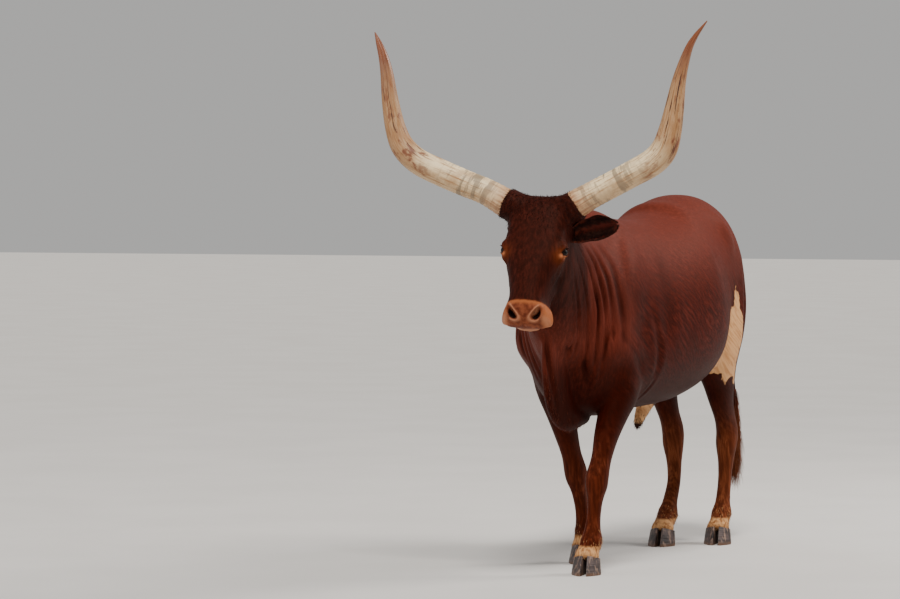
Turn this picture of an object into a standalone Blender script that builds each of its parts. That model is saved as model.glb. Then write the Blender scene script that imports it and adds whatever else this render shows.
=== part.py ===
"""A long-horned ox standing life size, built as named solids that meet face to face.

The animal faces -Y with its left side towards +X, and it stands on Z = 0. The flesh is lofted
as one hide, remeshed, shaped and then parted into nodes by thin cuts. Run it with
blender --background --python part.py, or from Blender's text editor.
"""

import math

import bmesh
import bpy
import numpy as np
from mathutils import Matrix, Vector

# Driving dimensions, in metres
GAP = 0.0003
VOXEL = 0.008
HEAD_VOXEL = 0.0045
SMOOTH_LENGTH = 0.018
TRUNK_SMOOTH = 0.060
POLL = (0.040, -0.490, 1.408)
HEAD_YAW = math.radians(10)
HEAD_ROLL = math.radians(2.2)
FACE_PITCH = math.radians(63)
HEAD_AXIS = -0.105  # depth of the line that the head is lofted along
EYE_ALONG, EYE_SIDE, EYE_DEEP = 0.190, 0.106, -0.050
EYE_RADIUS = 0.020
BODY_TRIANGLES = 7400
HEAD_TRIANGLES = 3500
CLAW_LENGTH, CLAW_WIDTH = 0.130, 0.058
EAR_LENGTH = 0.200
TAIL_LEAVES = 1.338  # the tail hangs behind this Y
SWITCH_TOP = 0.62


def spline(rows, per_span):
    """Catmull-Rom through the rows of a table, with per_span steps between neighbours."""
    table = np.asarray(rows, float)
    ghost = np.vstack([2 * table[0] - table[1], table, 2 * table[-1] - table[-2]])
    out = []
    for i in range(len(table) - 1):
        a, b, c, d = ghost[i : i + 4]
        t = (np.arange(per_span) / per_span)[:, None]
        out.append(
            0.5 * (2 * b + (c - a) * t + (2 * a - 5 * b + 4 * c - d) * t**2
                   + (3 * b - a - 3 * c + d) * t**3)
        )
    return np.vstack(out + [table[-1:]])


def unit(v):
    v = np.asarray(v, float)
    return v / np.maximum(np.linalg.norm(v, axis=-1, keepdims=True), 1e-12)


def loft(rows, side=(1, 0, 0), sides=32, per_span=5):
    """Rings through rows of x, y, z, half width, rise, drop, squareness, taper.

    Half width runs along side. Rise is the reach along side x path, drop the reach against it.
    """
    table = spline(rows, per_span)
    centre = table[:, :3]
    half, rise, drop, square, taper = (table[:, i] for i in range(3, 8))
    tangent = unit(np.gradient(centre, axis=0))
    across = np.asarray(side, float) + np.zeros_like(tangent)
    across = unit(across - (across * tangent).sum(1, keepdims=True) * tangent)
    up = np.cross(across, tangent)
    turn = np.linspace(0, 2 * math.pi, sides, endpoint=False)
    c, s = np.cos(turn), np.sin(turn)
    power = 2 / square[:, None]
    cc = np.sign(c) * np.abs(c) ** power * (1 + taper[:, None] * s)
    ss = np.sign(s) * np.abs(s) ** power
    reach = np.where(s > 0, rise[:, None], drop[:, None])
    points = (
        centre[:, None]
        + across[:, None] * (half[:, None] * cc)[..., None]
        + up[:, None] * (reach * ss)[..., None]
    )
    return points


def skinned(points):
    """Vertices and faces of the closed tube through rings of points, its ends closed by fans."""
    rings, sides = points.shape[:2]
    verts = points.reshape(-1, 3)
    first = np.arange(rings - 1)[:, None] * sides + np.arange(sides)
    nxt = np.arange(rings - 1)[:, None] * sides + np.roll(np.arange(sides), -1)
    quads = np.stack([first, nxt, nxt + sides, first + sides], -1).reshape(-1, 4)
    ends = np.vstack([points[0].mean(0), points[-1].mean(0)])
    low, high = len(verts), len(verts) + 1
    ring = np.arange(sides)
    last = (rings - 1) * sides
    fan = [(low, int(b), int(a)) for a, b in zip(ring, np.roll(ring, -1))]
    fan += [(high, int(last + a), int(last + b)) for a, b in zip(ring, np.roll(ring, -1))]
    return np.vstack([verts, ends]), [tuple(map(int, q)) for q in quads] + fan


def add_object(name, verts, faces):
    mesh = bpy.data.meshes.new(name)
    mesh.from_pydata([tuple(v) for v in verts], [], faces)
    bm = bmesh.new()
    bm.from_mesh(mesh)
    bmesh.ops.recalc_face_normals(bm, faces=bm.faces)
    bm.to_mesh(mesh)
    bm.free()
    obj = bpy.data.objects.new(name, mesh)
    bpy.context.scene.collection.objects.link(obj)
    return obj


# Head frame: down the face from poll to muzzle, to the left, and out of the forehead
HEADING = np.array([math.sin(HEAD_YAW), -math.cos(HEAD_YAW), 0.0])
LEVEL_LEFT = np.array([math.cos(HEAD_YAW), math.sin(HEAD_YAW), 0.0])
UPWARD = np.array([0.0, 0.0, 1.0])
HEAD_LEFT = LEVEL_LEFT * math.cos(HEAD_ROLL) - UPWARD * math.sin(HEAD_ROLL)
HEAD_UP = UPWARD * math.cos(HEAD_ROLL) + LEVEL_LEFT * math.sin(HEAD_ROLL)
FACE_DOWN = HEADING * math.cos(FACE_PITCH) - HEAD_UP * math.sin(FACE_PITCH)
FACE_OUT = HEADING * math.sin(FACE_PITCH) + HEAD_UP * math.cos(FACE_PITCH)


def on_head(u, v, w):
    """World point of a place on the head: u down the face, v to its left, w out of the forehead."""
    u, v, w = (np.asarray(x, float)[..., None] for x in (u, v, w))
    return np.asarray(POLL) + u * FACE_DOWN + v * HEAD_LEFT + w * FACE_OUT


def in_head(points):
    local = np.asarray(points) - np.asarray(POLL)
    return local @ FACE_DOWN, local @ HEAD_LEFT, local @ FACE_OUT


def trunk():
    rows = [  # y, axis height, half width, top, bottom, squareness, taper
        (-0.265, 0.84, 0.060, 0.98, 0.66, 2.0, 0.00),
        (-0.220, 0.86, 0.135, 1.10, 0.60, 2.1, 0.00),
        (-0.130, 0.89, 0.195, 1.22, 0.575, 2.2, -0.02),
        (0.000, 0.92, 0.235, 1.31, 0.575, 2.2, -0.06),
        (0.120, 0.93, 0.255, 1.35, 0.585, 2.1, -0.12),
        (0.280, 0.94, 0.278, 1.335, 0.590, 2.1, -0.08),
        (0.450, 0.94, 0.292, 1.330, 0.592, 2.15, -0.03),
        (0.620, 0.95, 0.298, 1.352, 0.602, 2.2, 0.00),
        (0.760, 0.96, 0.286, 1.392, 0.630, 2.2, 0.00),
        (0.880, 1.00, 0.252, 1.432, 0.700, 2.3, 0.03),
        (0.980, 1.04, 0.222, 1.440, 0.780, 2.4, 0.06),
        (1.100, 1.06, 0.208, 1.416, 0.830, 2.4, 0.05),
        (1.200, 1.07, 0.196, 1.370, 0.870, 2.3, 0.00),
        (1.272, 1.08, 0.160, 1.312, 0.925, 2.2, 0.00),
        (1.313, 1.09, 0.085, 1.240, 0.990, 2.0, 0.00),
    ]
    placed = [(0, y, z, a, top - z, z - low, p, k) for y, z, a, top, low, p, k in rows]
    return loft(placed, sides=72)


def neck():
    rows = [  # x, y, z, half width, rise, drop, squareness, taper
        (0.000, 0.120, 0.980, 0.200, 0.350, 0.360, 2.1, -0.15),
        (0.000, -0.020, 1.000, 0.185, 0.335, 0.380, 2.1, -0.15),
        (0.005, -0.140, 1.040, 0.155, 0.300, 0.360, 2.1, -0.12),
        (0.015, -0.250, 1.090, 0.130, 0.265, 0.290, 2.1, -0.08),
        (0.028, -0.350, 1.150, 0.115, 0.215, 0.210, 2.1, 0.00),
        (0.042, -0.430, 1.210, 0.105, 0.165, 0.160, 2.1, 0.00),
        (0.050, -0.475, 1.260, 0.095, 0.110, 0.130, 2.1, 0.00),
    ]
    return loft(rows, sides=56)


def head():
    rows = [  # along the face, forehead depth, jaw depth, half width, squareness, taper
        (-0.022, -0.045, -0.155, 0.070, 2.2, 0.00),
        (-0.008, -0.014, -0.178, 0.100, 2.3, 0.00),
        (0.020, -0.001, -0.205, 0.118, 2.5, 0.02),
        (0.060, 0.002, -0.228, 0.126, 2.7, 0.06),
        (0.110, 0.002, -0.244, 0.121, 2.8, 0.12),
        (0.155, 0.001, -0.256, 0.117, 2.8, 0.16),
        (0.195, 0.000, -0.261, 0.112, 2.7, 0.16),
        (0.235, -0.002, -0.251, 0.103, 2.6, 0.13),
        (0.280, -0.005, -0.222, 0.090, 2.5, 0.10),
        (0.325, -0.009, -0.194, 0.081, 2.4, 0.06),
        (0.370, -0.013, -0.168, 0.077, 2.4, 0.00),
        (0.405, -0.018, -0.148, 0.086, 2.6, -0.04),
        (0.430, -0.029, -0.140, 0.093, 2.9, -0.06),
        (0.451, -0.046, -0.134, 0.091, 2.8, -0.04),
        (0.468, -0.068, -0.122, 0.072, 2.5, 0.00),
        (0.474, -0.084, -0.110, 0.046, 2.2, 0.00),
    ]
    placed = [
        (*on_head(u, 0, HEAD_AXIS), a, top - HEAD_AXIS, HEAD_AXIS - jaw, p, k)
        for u, top, jaw, a, p, k in rows
    ]
    return loft(placed, side=-HEAD_LEFT, sides=56)


def horn_base():
    return on_head(0, 0, -0.055)


def lower_lip():
    rows = [  # along the face, depth, half width, reach
        (0.290, -0.168, 0.050, 0.030),
        (0.360, -0.152, 0.053, 0.029),
        (0.410, -0.143, 0.054, 0.027),
        (0.447, -0.139, 0.052, 0.021),
        (0.464, -0.137, 0.040, 0.013),
        (0.469, -0.136, 0.020, 0.006),
    ]
    placed = [(*on_head(u, 0, w), a, r, r, 2.2, 0) for u, w, a, r in rows]
    return loft(placed, side=-HEAD_LEFT, sides=24)


def flew(side):
    """The upper lip's corner, which hangs a little below the mouth."""
    rows = [
        (0.380, 0.066, -0.092, 0.012),
        (0.420, 0.076, -0.102, 0.020),
        (0.444, 0.079, -0.112, 0.020),
        (0.459, 0.078, -0.118, 0.013),
    ]
    placed = [(*on_head(u, side * v, w), r, r, r, 2.0, 0) for u, v, w, r in rows]
    return loft(placed, side=HEAD_LEFT, sides=16)


def horn_boss(side):
    """The frontal bone reaching out to a horn, with the hair that covers it."""
    rows = [
        (0.000, -0.012, 0.050),
        (0.050, -0.014, 0.054),
        (0.095, -0.009, 0.059),
        (0.126, 0.003, 0.061),
        (0.140, 0.010, 0.054),
        (0.149, 0.014, 0.036),
    ]
    hub = horn_base()
    placed = [(*(hub + side * a * HEAD_LEFT + b * HEAD_UP), r, r, r, 2.0, 0) for a, b, r in rows]
    return loft(placed, side=HEADING, sides=24)


def orbit(side):
    rows = [
        (*on_head(0.150, side * 0.085, -0.050), 0.020, 0.020, 0.020, 2.0, 0),
        (*on_head(0.175, side * 0.100, -0.046), 0.031, 0.031, 0.031, 2.0, 0),
        (*on_head(0.205, side * 0.098, -0.048), 0.029, 0.029, 0.029, 2.0, 0),
        (*on_head(0.240, side * 0.082, -0.055), 0.018, 0.018, 0.018, 2.0, 0),
    ]
    return loft(rows, side=HEAD_LEFT, sides=16)


def foreleg(lean):
    """Rings from the shoulder to the coronet. lean maps a height to the leg's x and y."""
    rows = [  # height, half width, front reach, rear reach, squareness
        (0.980, 0.060, 0.090, 0.100, 2.1),
        (0.880, 0.074, 0.125, 0.125, 2.1),
        (0.780, 0.078, 0.105, 0.120, 2.2),
        (0.690, 0.070, 0.080, 0.100, 2.2),
        (0.610, 0.059, 0.066, 0.074, 2.2),
        (0.520, 0.049, 0.054, 0.055, 2.1),
        (0.430, 0.041, 0.043, 0.044, 2.1),
        (0.365, 0.046, 0.046, 0.043, 2.3),
        (0.325, 0.044, 0.043, 0.044, 2.3),
        (0.280, 0.033, 0.031, 0.036, 2.2),
        (0.225, 0.029, 0.026, 0.033, 2.2),
        (0.170, 0.033, 0.029, 0.038, 2.2),
        (0.130, 0.043, 0.037, 0.046, 2.3),
        (0.095, 0.042, 0.036, 0.040, 2.3),
        (0.068, 0.047, 0.040, 0.042, 2.1),
        (0.025, 0.048, 0.041, 0.043, 2.1),
    ]
    placed = []
    for z, a, front, rear, p in rows:
        x, y = lean(z)
        placed.append((x, y, z, a, rear, front, p, 0))
    return loft(placed, side=(1, 0, 0), sides=24)


def hindleg(lean):
    rows = [  # height, half width, front reach, rear reach, squareness
        (1.230, 0.050, 0.140, 0.110, 2.1),
        (1.120, 0.098, 0.200, 0.165, 2.2),
        (1.000, 0.108, 0.215, 0.182, 2.2),
        (0.880, 0.104, 0.200, 0.168, 2.2),
        (0.780, 0.090, 0.160, 0.140, 2.2),
        (0.690, 0.066, 0.115, 0.105, 2.2),
        (0.600, 0.050, 0.074, 0.078, 2.2),
        (0.520, 0.041, 0.054, 0.066, 2.2),
        (0.455, 0.045, 0.052, 0.060, 2.3),
        (0.400, 0.045, 0.046, 0.046, 2.3),
        (0.330, 0.034, 0.034, 0.038, 2.2),
        (0.250, 0.030, 0.029, 0.035, 2.2),
        (0.170, 0.033, 0.031, 0.038, 2.2),
        (0.130, 0.043, 0.038, 0.046, 2.3),
        (0.095, 0.041, 0.036, 0.040, 2.3),
        (0.068, 0.046, 0.040, 0.042, 2.1),
        (0.025, 0.047, 0.041, 0.043, 2.1),
    ]
    placed = []
    for z, a, front, rear, p in rows:
        x, y = lean(z)
        placed.append((x, y, z, a, rear, front, p, 0))
    return loft(placed, side=(1, 0, 0), sides=24)


def through(heights, xs, ys):
    """A path that reads a leg's x and y at a height, from its joints' places."""
    order = np.argsort(heights)
    h, x, y = (np.asarray(c, float)[order] for c in (heights, xs, ys))
    return lambda z: (float(np.interp(z, h, x)), float(np.interp(z, h, y)))


# Joint places of each leg, from the trunk down to the coronet
FORE_HEIGHTS = (0.98, 0.69, 0.52, 0.355, 0.13, 0.065)
HIND_HEIGHTS = (1.23, 1.00, 0.80, 0.60, 0.455, 0.27, 0.13, 0.065)
LEG_PATHS = {
    "foreleg_left": through(
        FORE_HEIGHTS,
        (0.150, 0.150, 0.122, 0.100, 0.086, 0.076),
        (-0.010, 0.010, -0.055, -0.095, -0.112, -0.134),
    ),
    "foreleg_right": through(
        FORE_HEIGHTS,
        (-0.150, -0.152, -0.130, -0.112, -0.098, -0.095),
        (0.000, 0.070, 0.130, 0.190, 0.245, 0.231),
    ),
    "hindleg_left": through(
        HIND_HEIGHTS,
        (0.090, 0.105, 0.118, 0.119, 0.116, 0.114, 0.112, 0.108),
        (1.100, 1.115, 1.075, 1.130, 1.205, 1.190, 1.160, 1.128),
    ),
    "hindleg_right": through(
        HIND_HEIGHTS,
        (-0.090, -0.105, -0.116, -0.108, -0.095, -0.083, -0.076, -0.073),
        (1.090, 1.090, 1.040, 1.080, 1.136, 1.130, 1.040, 0.972),
    ),
}
FEET = {  # centre of the foot on the ground, and its heading from -Y towards the left
    "foreleg_left": (0.080, -0.150, math.radians(14)),
    "foreleg_right": (-0.094, 0.215, math.radians(5)),
    "hindleg_left": (0.112, 1.112, math.radians(14)),
    "hindleg_right": (-0.071, 0.956, math.radians(8)),
}


def dewclaws(leg):
    """Two small horny knobs behind the fetlock."""
    knob = ((0.016, 0.020, 0.140, 0.016), (0.022, 0.040, 0.122, 0.016), (0.026, 0.050, 0.100, 0.011))
    x, y = LEG_PATHS[leg](0.125)
    heading = FEET[leg][2]
    pair = []
    for side in (1, -1):
        rows = []
        for out, back, z, r in knob:
            px = x + side * out * math.cos(heading) - back * math.sin(heading)
            py = y + side * out * math.sin(heading) + back * math.cos(heading)
            rows.append((px, py, z, r, r, r, 2.0, 0))
        pair.append(loft(rows, sides=12, per_span=3))
    return pair


def dewlap():
    rows = [
        (0.036, -0.355, 1.080, 0.038, 0.045, 0.045, 2.0, 0),
        (0.032, -0.335, 0.980, 0.036, 0.080, 0.080, 2.0, 0),
        (0.024, -0.305, 0.870, 0.036, 0.105, 0.105, 2.0, 0),
        (0.012, -0.270, 0.760, 0.037, 0.115, 0.115, 2.0, 0),
        (0.003, -0.215, 0.655, 0.040, 0.105, 0.100, 2.0, 0),
        (0.000, -0.140, 0.590, 0.042, 0.070, 0.060, 2.0, 0),
        (0.000, -0.030, 0.580, 0.050, 0.030, 0.030, 2.0, 0),
    ]
    return loft(rows, sides=20)


def shoulder(side):
    s = side
    blade = [
        (s * 0.075, 0.150, 1.300, 0.035, 0.080, 0.080, 2.0, 0),
        (s * 0.150, 0.080, 1.160, 0.062, 0.115, 0.115, 2.2, 0),
        (s * 0.178, 0.000, 1.000, 0.066, 0.120, 0.120, 2.2, 0),
        (s * 0.172, -0.090, 0.880, 0.060, 0.095, 0.095, 2.2, 0),
        (s * 0.150, -0.120, 0.800, 0.040, 0.060, 0.060, 2.0, 0),
    ]
    arm = [
        (s * 0.150, -0.170, 0.905, 0.045, 0.050, 0.050, 2.0, 0),
        (s * 0.172, -0.100, 0.880, 0.062, 0.085, 0.085, 2.0, 0),
        (s * 0.178, 0.000, 0.850, 0.066, 0.110, 0.110, 2.0, 0),
        (s * 0.165, 0.100, 0.790, 0.058, 0.095, 0.095, 2.0, 0),
        (s * 0.150, 0.135, 0.740, 0.040, 0.050, 0.050, 2.0, 0),
    ]
    return [loft(blade, side=(1, 0, 0), sides=20), loft(arm, side=(1, 0, 0), sides=20)]


def haunch(side):
    s = side
    hook = [
        (s * 0.080, 0.880, 1.350, 0.045, 0.040, 0.040, 2.0, 0),
        (s * 0.150, 0.940, 1.305, 0.050, 0.055, 0.055, 2.0, 0),
        (s * 0.172, 1.000, 1.240, 0.045, 0.065, 0.065, 2.0, 0),
        (s * 0.160, 1.080, 1.150, 0.040, 0.080, 0.080, 2.0, 0),
    ]
    flank = [
        (s * 0.190, 0.800, 0.840, 0.050, 0.080, 0.060, 2.0, 0),
        (s * 0.165, 0.880, 0.800, 0.045, 0.090, 0.070, 2.0, 0),
        (s * 0.140, 0.980, 0.790, 0.045, 0.090, 0.080, 2.0, 0),
    ]
    pin = [
        (s * 0.060, 1.170, 1.265, 0.042, 0.045, 0.045, 2.0, 0),
        (s * 0.088, 1.245, 1.205, 0.036, 0.040, 0.045, 2.0, 0),
        (s * 0.085, 1.270, 1.140, 0.028, 0.028, 0.036, 2.0, 0),
    ]
    return [loft(hook, sides=20), loft(flank, sides=20), loft(pin, sides=20)]


def sheath():
    rows = [
        (0, 0.740, 0.640, 0.045, 0.020, 0.025, 2.0, 0),
        (0, 0.640, 0.605, 0.036, 0.030, 0.032, 2.0, 0),
        (0, 0.575, 0.565, 0.026, 0.036, 0.036, 2.0, 0),
        (0, 0.540, 0.530, 0.018, 0.028, 0.028, 2.0, 0),
        (0, 0.528, 0.512, 0.010, 0.014, 0.014, 2.0, 0),
    ]
    return loft(rows, sides=16)


def flesh():
    """Every mass of the body as closed tubes that overlap."""
    masses = [trunk(), neck(), head(), lower_lip(), dewlap(), sheath(), tail()]
    for leg, path in LEG_PATHS.items():
        masses.append(foreleg(path) if leg.startswith("fore") else hindleg(path))
    for side in (1, -1):
        masses += [horn_boss(side), orbit(side), flew(side)] + shoulder(side) + haunch(side)
    for leg in FEET:
        masses += dewclaws(leg)
    return masses


def joined(name, masses):
    verts, faces, count = [], [], 0
    for points in masses:
        v, f = skinned(points)
        verts.append(v)
        faces += [tuple(i + count for i in face) for face in f]
        count += len(v)
    return add_object(name, np.vstack(verts), faces)


def horn_rows(side):
    left = [  # out to the side, up, radius
        (0.095, -0.012, 0.052),
        (0.130, 0.012, 0.055),
        (0.184, 0.046, 0.051),
        (0.260, 0.089, 0.050),
        (0.331, 0.130, 0.050),
        (0.402, 0.173, 0.051),
        (0.443, 0.220, 0.050),
        (0.463, 0.290, 0.044),
        (0.475, 0.377, 0.036),
        (0.487, 0.479, 0.026),
        (0.512, 0.582, 0.016),
        (0.538, 0.638, 0.010),
        (0.580, 0.698, 0.003),
    ]
    right = [
        (0.095, -0.015, 0.052),
        (0.140, 0.006, 0.055),
        (0.216, 0.044, 0.051),
        (0.305, 0.075, 0.051),
        (0.398, 0.110, 0.051),
        (0.482, 0.146, 0.049),
        (0.542, 0.196, 0.046),
        (0.575, 0.260, 0.040),
        (0.602, 0.358, 0.033),
        (0.623, 0.467, 0.025),
        (0.640, 0.530, 0.019),
        (0.660, 0.580, 0.012),
        (0.681, 0.626, 0.003),
    ]
    lean_back = math.radians(4)
    rise = HEAD_UP * math.cos(lean_back) - HEADING * math.sin(lean_back)
    rows = []
    for out, height, radius in left if side > 0 else right:
        place = horn_base() + side * out * HEAD_LEFT + height * rise
        rows.append((*place, radius, radius, radius, 2.0, 0))
    return rows


def tail():
    rows = [
        (0.000, 1.230, 1.318, 0.036, 0.030, 0.030, 2.0, 0),
        (0.000, 1.292, 1.288, 0.034, 0.030, 0.030, 2.0, 0),
        (0.004, 1.345, 1.205, 0.030, 0.027, 0.027, 2.0, 0),
        (0.012, 1.372, 1.080, 0.026, 0.024, 0.024, 2.0, 0),
        (0.028, 1.380, 0.930, 0.022, 0.021, 0.021, 2.0, 0),
        (0.050, 1.376, 0.780, 0.019, 0.019, 0.019, 2.0, 0),
        (0.072, 1.368, 0.660, 0.018, 0.018, 0.018, 2.0, 0),
        (0.080, 1.364, 0.580, 0.017, 0.017, 0.017, 2.0, 0),
    ]
    return loft(rows, side=(1, 0, 0), sides=16)


def falloff(distance, reach):
    return np.exp(-((distance / reach) ** 2))


def near_path(points, path):
    """Distance of each point from a smooth path, and how far along the path it lies, 0 to 1."""
    line = spline(path, 6)
    a, d = line[:-1], np.diff(line, axis=0)
    best = np.full(len(points), 1e9)
    along = np.zeros(len(points))
    for i in range(len(d)):
        t = np.clip(((points - a[i]) @ d[i]) / (d[i] @ d[i]), 0, 1)
        gap = np.linalg.norm(points - a[i] - t[:, None] * d[i], axis=1)
        closer = gap < best
        best = np.where(closer, gap, best)
        along = np.where(closer, (i + t) / len(d), along)
    return best, along


def mesh_points(obj):
    count = len(obj.data.vertices)
    points = np.empty(count * 3)
    normals = np.empty(count * 3)
    obj.data.vertices.foreach_get("co", points)
    obj.data.vertices.foreach_get("normal", normals)
    return points.reshape(-1, 3), normals.reshape(-1, 3)


def set_points(obj, points):
    obj.data.vertices.foreach_set("co", points.astype(float).ravel())
    obj.data.update()


def crease(obj, path, reach, depth):
    """Press a groove into the surface along a path, or raise a ridge where depth is negative."""
    points, normals = mesh_points(obj)
    gap, along = near_path(points, path)
    fade = np.sin(np.pi * np.clip(along, 0.02, 0.98)) ** 0.5
    amount = depth * falloff(gap, reach) * fade
    set_points(obj, points - normals * amount[:, None])


def dent(obj, centre, reach, depth):
    points, normals = mesh_points(obj)
    local = (points - np.asarray(centre)) / np.asarray(reach)
    amount = depth * np.exp(-(local**2).sum(1))
    set_points(obj, points - normals * amount[:, None])


# Folds of loose hide on the left side: path, reach, depth
SIDE_FOLDS = [
    ([(0.20, 0.26, 1.22), (0.27, 0.22, 1.02), (0.26, 0.17, 0.84)], 0.045, 0.007),
    ([(0.20, 1.21, 1.14), (0.21, 1.18, 0.98), (0.18, 1.15, 0.80)], 0.018, 0.007),
    ([(0.19, 0.93, 0.98), (0.20, 0.90, 0.84), (0.17, 0.93, 0.73)], 0.022, 0.008),
    ([(0.21, -0.13, 0.90), (0.22, 0.00, 0.80), (0.19, 0.08, 0.72)], 0.018, 0.007),
    ([(0.24, 0.10, 0.98), (0.25, 0.15, 0.84), (0.22, 0.17, 0.72)], 0.020, 0.007),
    ([(0.24, 0.80, 0.76), (0.20, 0.84, 0.70), (0.15, 0.90, 0.66)], 0.014, 0.005),
    ([(0.147, -0.440, 1.19), (0.138, -0.375, 1.09), (0.124, -0.318, 0.98), (0.092, -0.272, 0.85),
      (0.046, -0.260, 0.72)], 0.011, 0.006),
    ([(0.136, -0.340, 1.23), (0.140, -0.254, 1.15), (0.150, -0.210, 1.03), (0.152, -0.205, 0.88),
      (0.103, -0.168, 0.71)], 0.012, 0.008),
    ([(0.120, -0.240, 1.24), (0.149, -0.170, 1.15), (0.178, -0.165, 1.04), (0.190, -0.172, 0.92),
      (0.152, -0.152, 0.78)], 0.012, 0.008),
]
BRISKET_FOLDS = [
    ([(0.030, -0.430, 0.98), (0.032, -0.407, 0.87), (0.034, -0.361, 0.74), (0.028, -0.293, 0.62)],
     0.011, 0.009),
    ([(-0.012, -0.440, 0.95), (-0.014, -0.400, 0.82), (-0.012, -0.330, 0.68)], 0.010, 0.007),
    ([(0.070, -0.330, 0.90), (0.072, -0.280, 0.78), (0.060, -0.230, 0.66)], 0.012, 0.007),
    ([(-0.055, -0.360, 0.92), (-0.058, -0.310, 0.78), (-0.045, -0.240, 0.65)], 0.011, 0.007),
    ([(0.080, -0.230, 0.86), (0.095, -0.190, 0.76), (0.085, -0.140, 0.66)], 0.014, 0.008),
]


def shape_body(obj):
    for side in (1, -1):
        for path, reach, depth in SIDE_FOLDS:
            crease(obj, [(side * x, y, z) for x, y, z in path], reach, depth)
        dent(obj, (side * 0.24, 0.80, 1.20), (0.08, 0.08, 0.07), 0.016)
    for path, reach, depth in BRISKET_FOLDS:
        crease(obj, path, reach, depth)
    for leg in FEET:
        shape_foot(obj, leg)


def shape_foot(obj, leg):
    """The groove over the cleft, and the band of hair that swells above the claws."""
    point, normal = (np.asarray(v) for v in coronet_plane(FEET[leg]))
    ahead = np.array([math.sin(FEET[leg][2]), -math.cos(FEET[leg][2]), 0.0])
    line = ((0.048, -0.012), (0.044, 0.012), (0.034, 0.040))
    crease(obj, [point + ahead * out + UPWARD * up for out, up in line], 0.009, 0.008)
    points, normals = mesh_points(obj)
    near = falloff(np.linalg.norm(points[:, :2] - point[:2], axis=1), 0.12)
    puff = 0.0025 * falloff((points - point) @ normal - 0.016, 0.014) * near
    set_points(obj, points + normals * puff[:, None])


def refined(obj, centres, reach):
    """Split the edges near some places once, so that small forms have faces to follow them."""
    bm = bmesh.new()
    bm.from_mesh(obj.data)
    places = [Vector(c) for c in centres]
    edges = [e for e in bm.edges if min((e.verts[0].co - c).length for c in places) < reach]
    bmesh.ops.subdivide_edges(bm, edges=edges, cuts=1, use_grid_fill=True)
    bm.to_mesh(obj.data)
    bm.free()


def shape_head(obj):
    refined(obj, [eye_centre(1), eye_centre(-1)], 0.045)
    ridges = [  # places in the head frame, reach, depth
        ([(0.215, 0.100, -0.075), (0.270, 0.092, -0.085), (0.335, 0.078, -0.080)], 0.010, -0.005),
        ([(0.250, 0.088, -0.115), (0.300, 0.078, -0.110), (0.350, 0.073, -0.105)], 0.020, 0.008),
        ([(0.230, 0.090, -0.225), (0.290, 0.074, -0.190), (0.350, 0.060, -0.168)], 0.012, -0.003),
        ([(0.216, 0.106, -0.036), (0.236, 0.098, -0.040), (0.262, 0.090, -0.048)], 0.007, 0.003),
    ]
    for side in (1, -1):
        for path, reach, depth in ridges:
            crease(obj, [on_head(u, side * v, w) for u, v, w in path], reach, depth)
        dent(obj, on_head(0.20, side * 0.10, -0.16), (0.05, 0.05, 0.05), -0.006)
        dent(obj, on_head(0.10, side * 0.115, -0.05), (0.03, 0.03, 0.03), 0.006)
        nostril(obj, side)
        lips(obj, side)
        eyelids(obj, side)
    middle = ((0.455, -0.060), (0.470, -0.085), (0.472, -0.105))
    crease(obj, [on_head(u, 0, w) for u, w in middle], 0.004, 0.004)


def nostril(obj, side):
    """A comma that leans in towards the middle at its lower end, with a raised rim."""
    points, normals = mesh_points(obj)
    u, v, w = in_head(points)
    down, out = u - 0.440, v * side - 0.047
    across = (out + 0.9 * down) / 1.345
    along = (down - 0.9 * out) / 1.345
    rim = np.hypot((across + 9.0 * along**2 - 0.001) / 0.0115, along / 0.0215)
    front = np.clip((w + 0.105) / 0.02, 0, 1)
    push = -0.018 * np.exp(-(rim**4)) + 0.003 * falloff(rim - 1.5, 0.4)
    set_points(obj, points + normals * (front * push)[:, None])


def lips(obj, side):
    mouth = [(0.470, 0, -0.113), (0.464, 0.034, -0.115), (0.450, 0.060, -0.121), (0.415, 0.073, -0.129),
             (0.375, 0.075, -0.132)]
    crease(obj, [on_head(u, side * v, w) for u, v, w in mouth], 0.006, 0.010)
    corner = [(0.375, 0.066, -0.110), (0.405, 0.086, -0.128), (0.440, 0.090, -0.136)]
    crease(obj, [on_head(u, side * v, w) for u, v, w in corner], 0.008, 0.003)


def eye_centre(side):
    return on_head(EYE_ALONG, side * EYE_SIDE, EYE_DEEP)


def eyelids(obj, side):
    """Fit the skin to the eyeball: just over it, and under it inside an almond opening."""
    points, _ = mesh_points(obj)
    away = points - eye_centre(side)
    distance = np.linalg.norm(away, axis=1)
    ray = away / np.maximum(distance, 1e-6)[:, None]
    look = unit(side * HEAD_LEFT * 0.86 + FACE_OUT * 0.50)
    slit = FACE_OUT * 0.72 + FACE_DOWN * 0.52
    slant = unit(slit - (slit @ look) * look)
    over = unit(np.cross(look, slant))
    over = over * np.sign(over @ HEAD_UP)
    a, b = (ray @ slant) / 1.00, (ray @ over) / 0.66
    almond = np.abs(a) ** 1.6 + np.abs(b + 0.10 * (1 - a**2)) ** 1.6
    brow = 0.0045 * falloff(b - 1.4, 0.6) * np.exp(-((a / 0.9) ** 4))
    lid = 0.0022 + 0.002 * falloff(almond - 1.35, 0.35) + brow
    target = EYE_RADIUS + np.where(almond < 1, -0.0035, lid)
    facing = np.clip((ray @ look - 0.05) / 0.3, 0, 1)
    reach = np.clip((0.034 - distance) / 0.010, 0, 1)
    weight = facing * reach * reach * (3 - 2 * reach)
    set_points(obj, points + ray * ((target - distance) * weight)[:, None])


def apply_modifiers(obj):
    graph = bpy.context.evaluated_depsgraph_get()
    mesh = bpy.data.meshes.new_from_object(obj.evaluated_get(graph))
    obj.modifiers.clear()
    obj.data = mesh
    return obj


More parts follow.
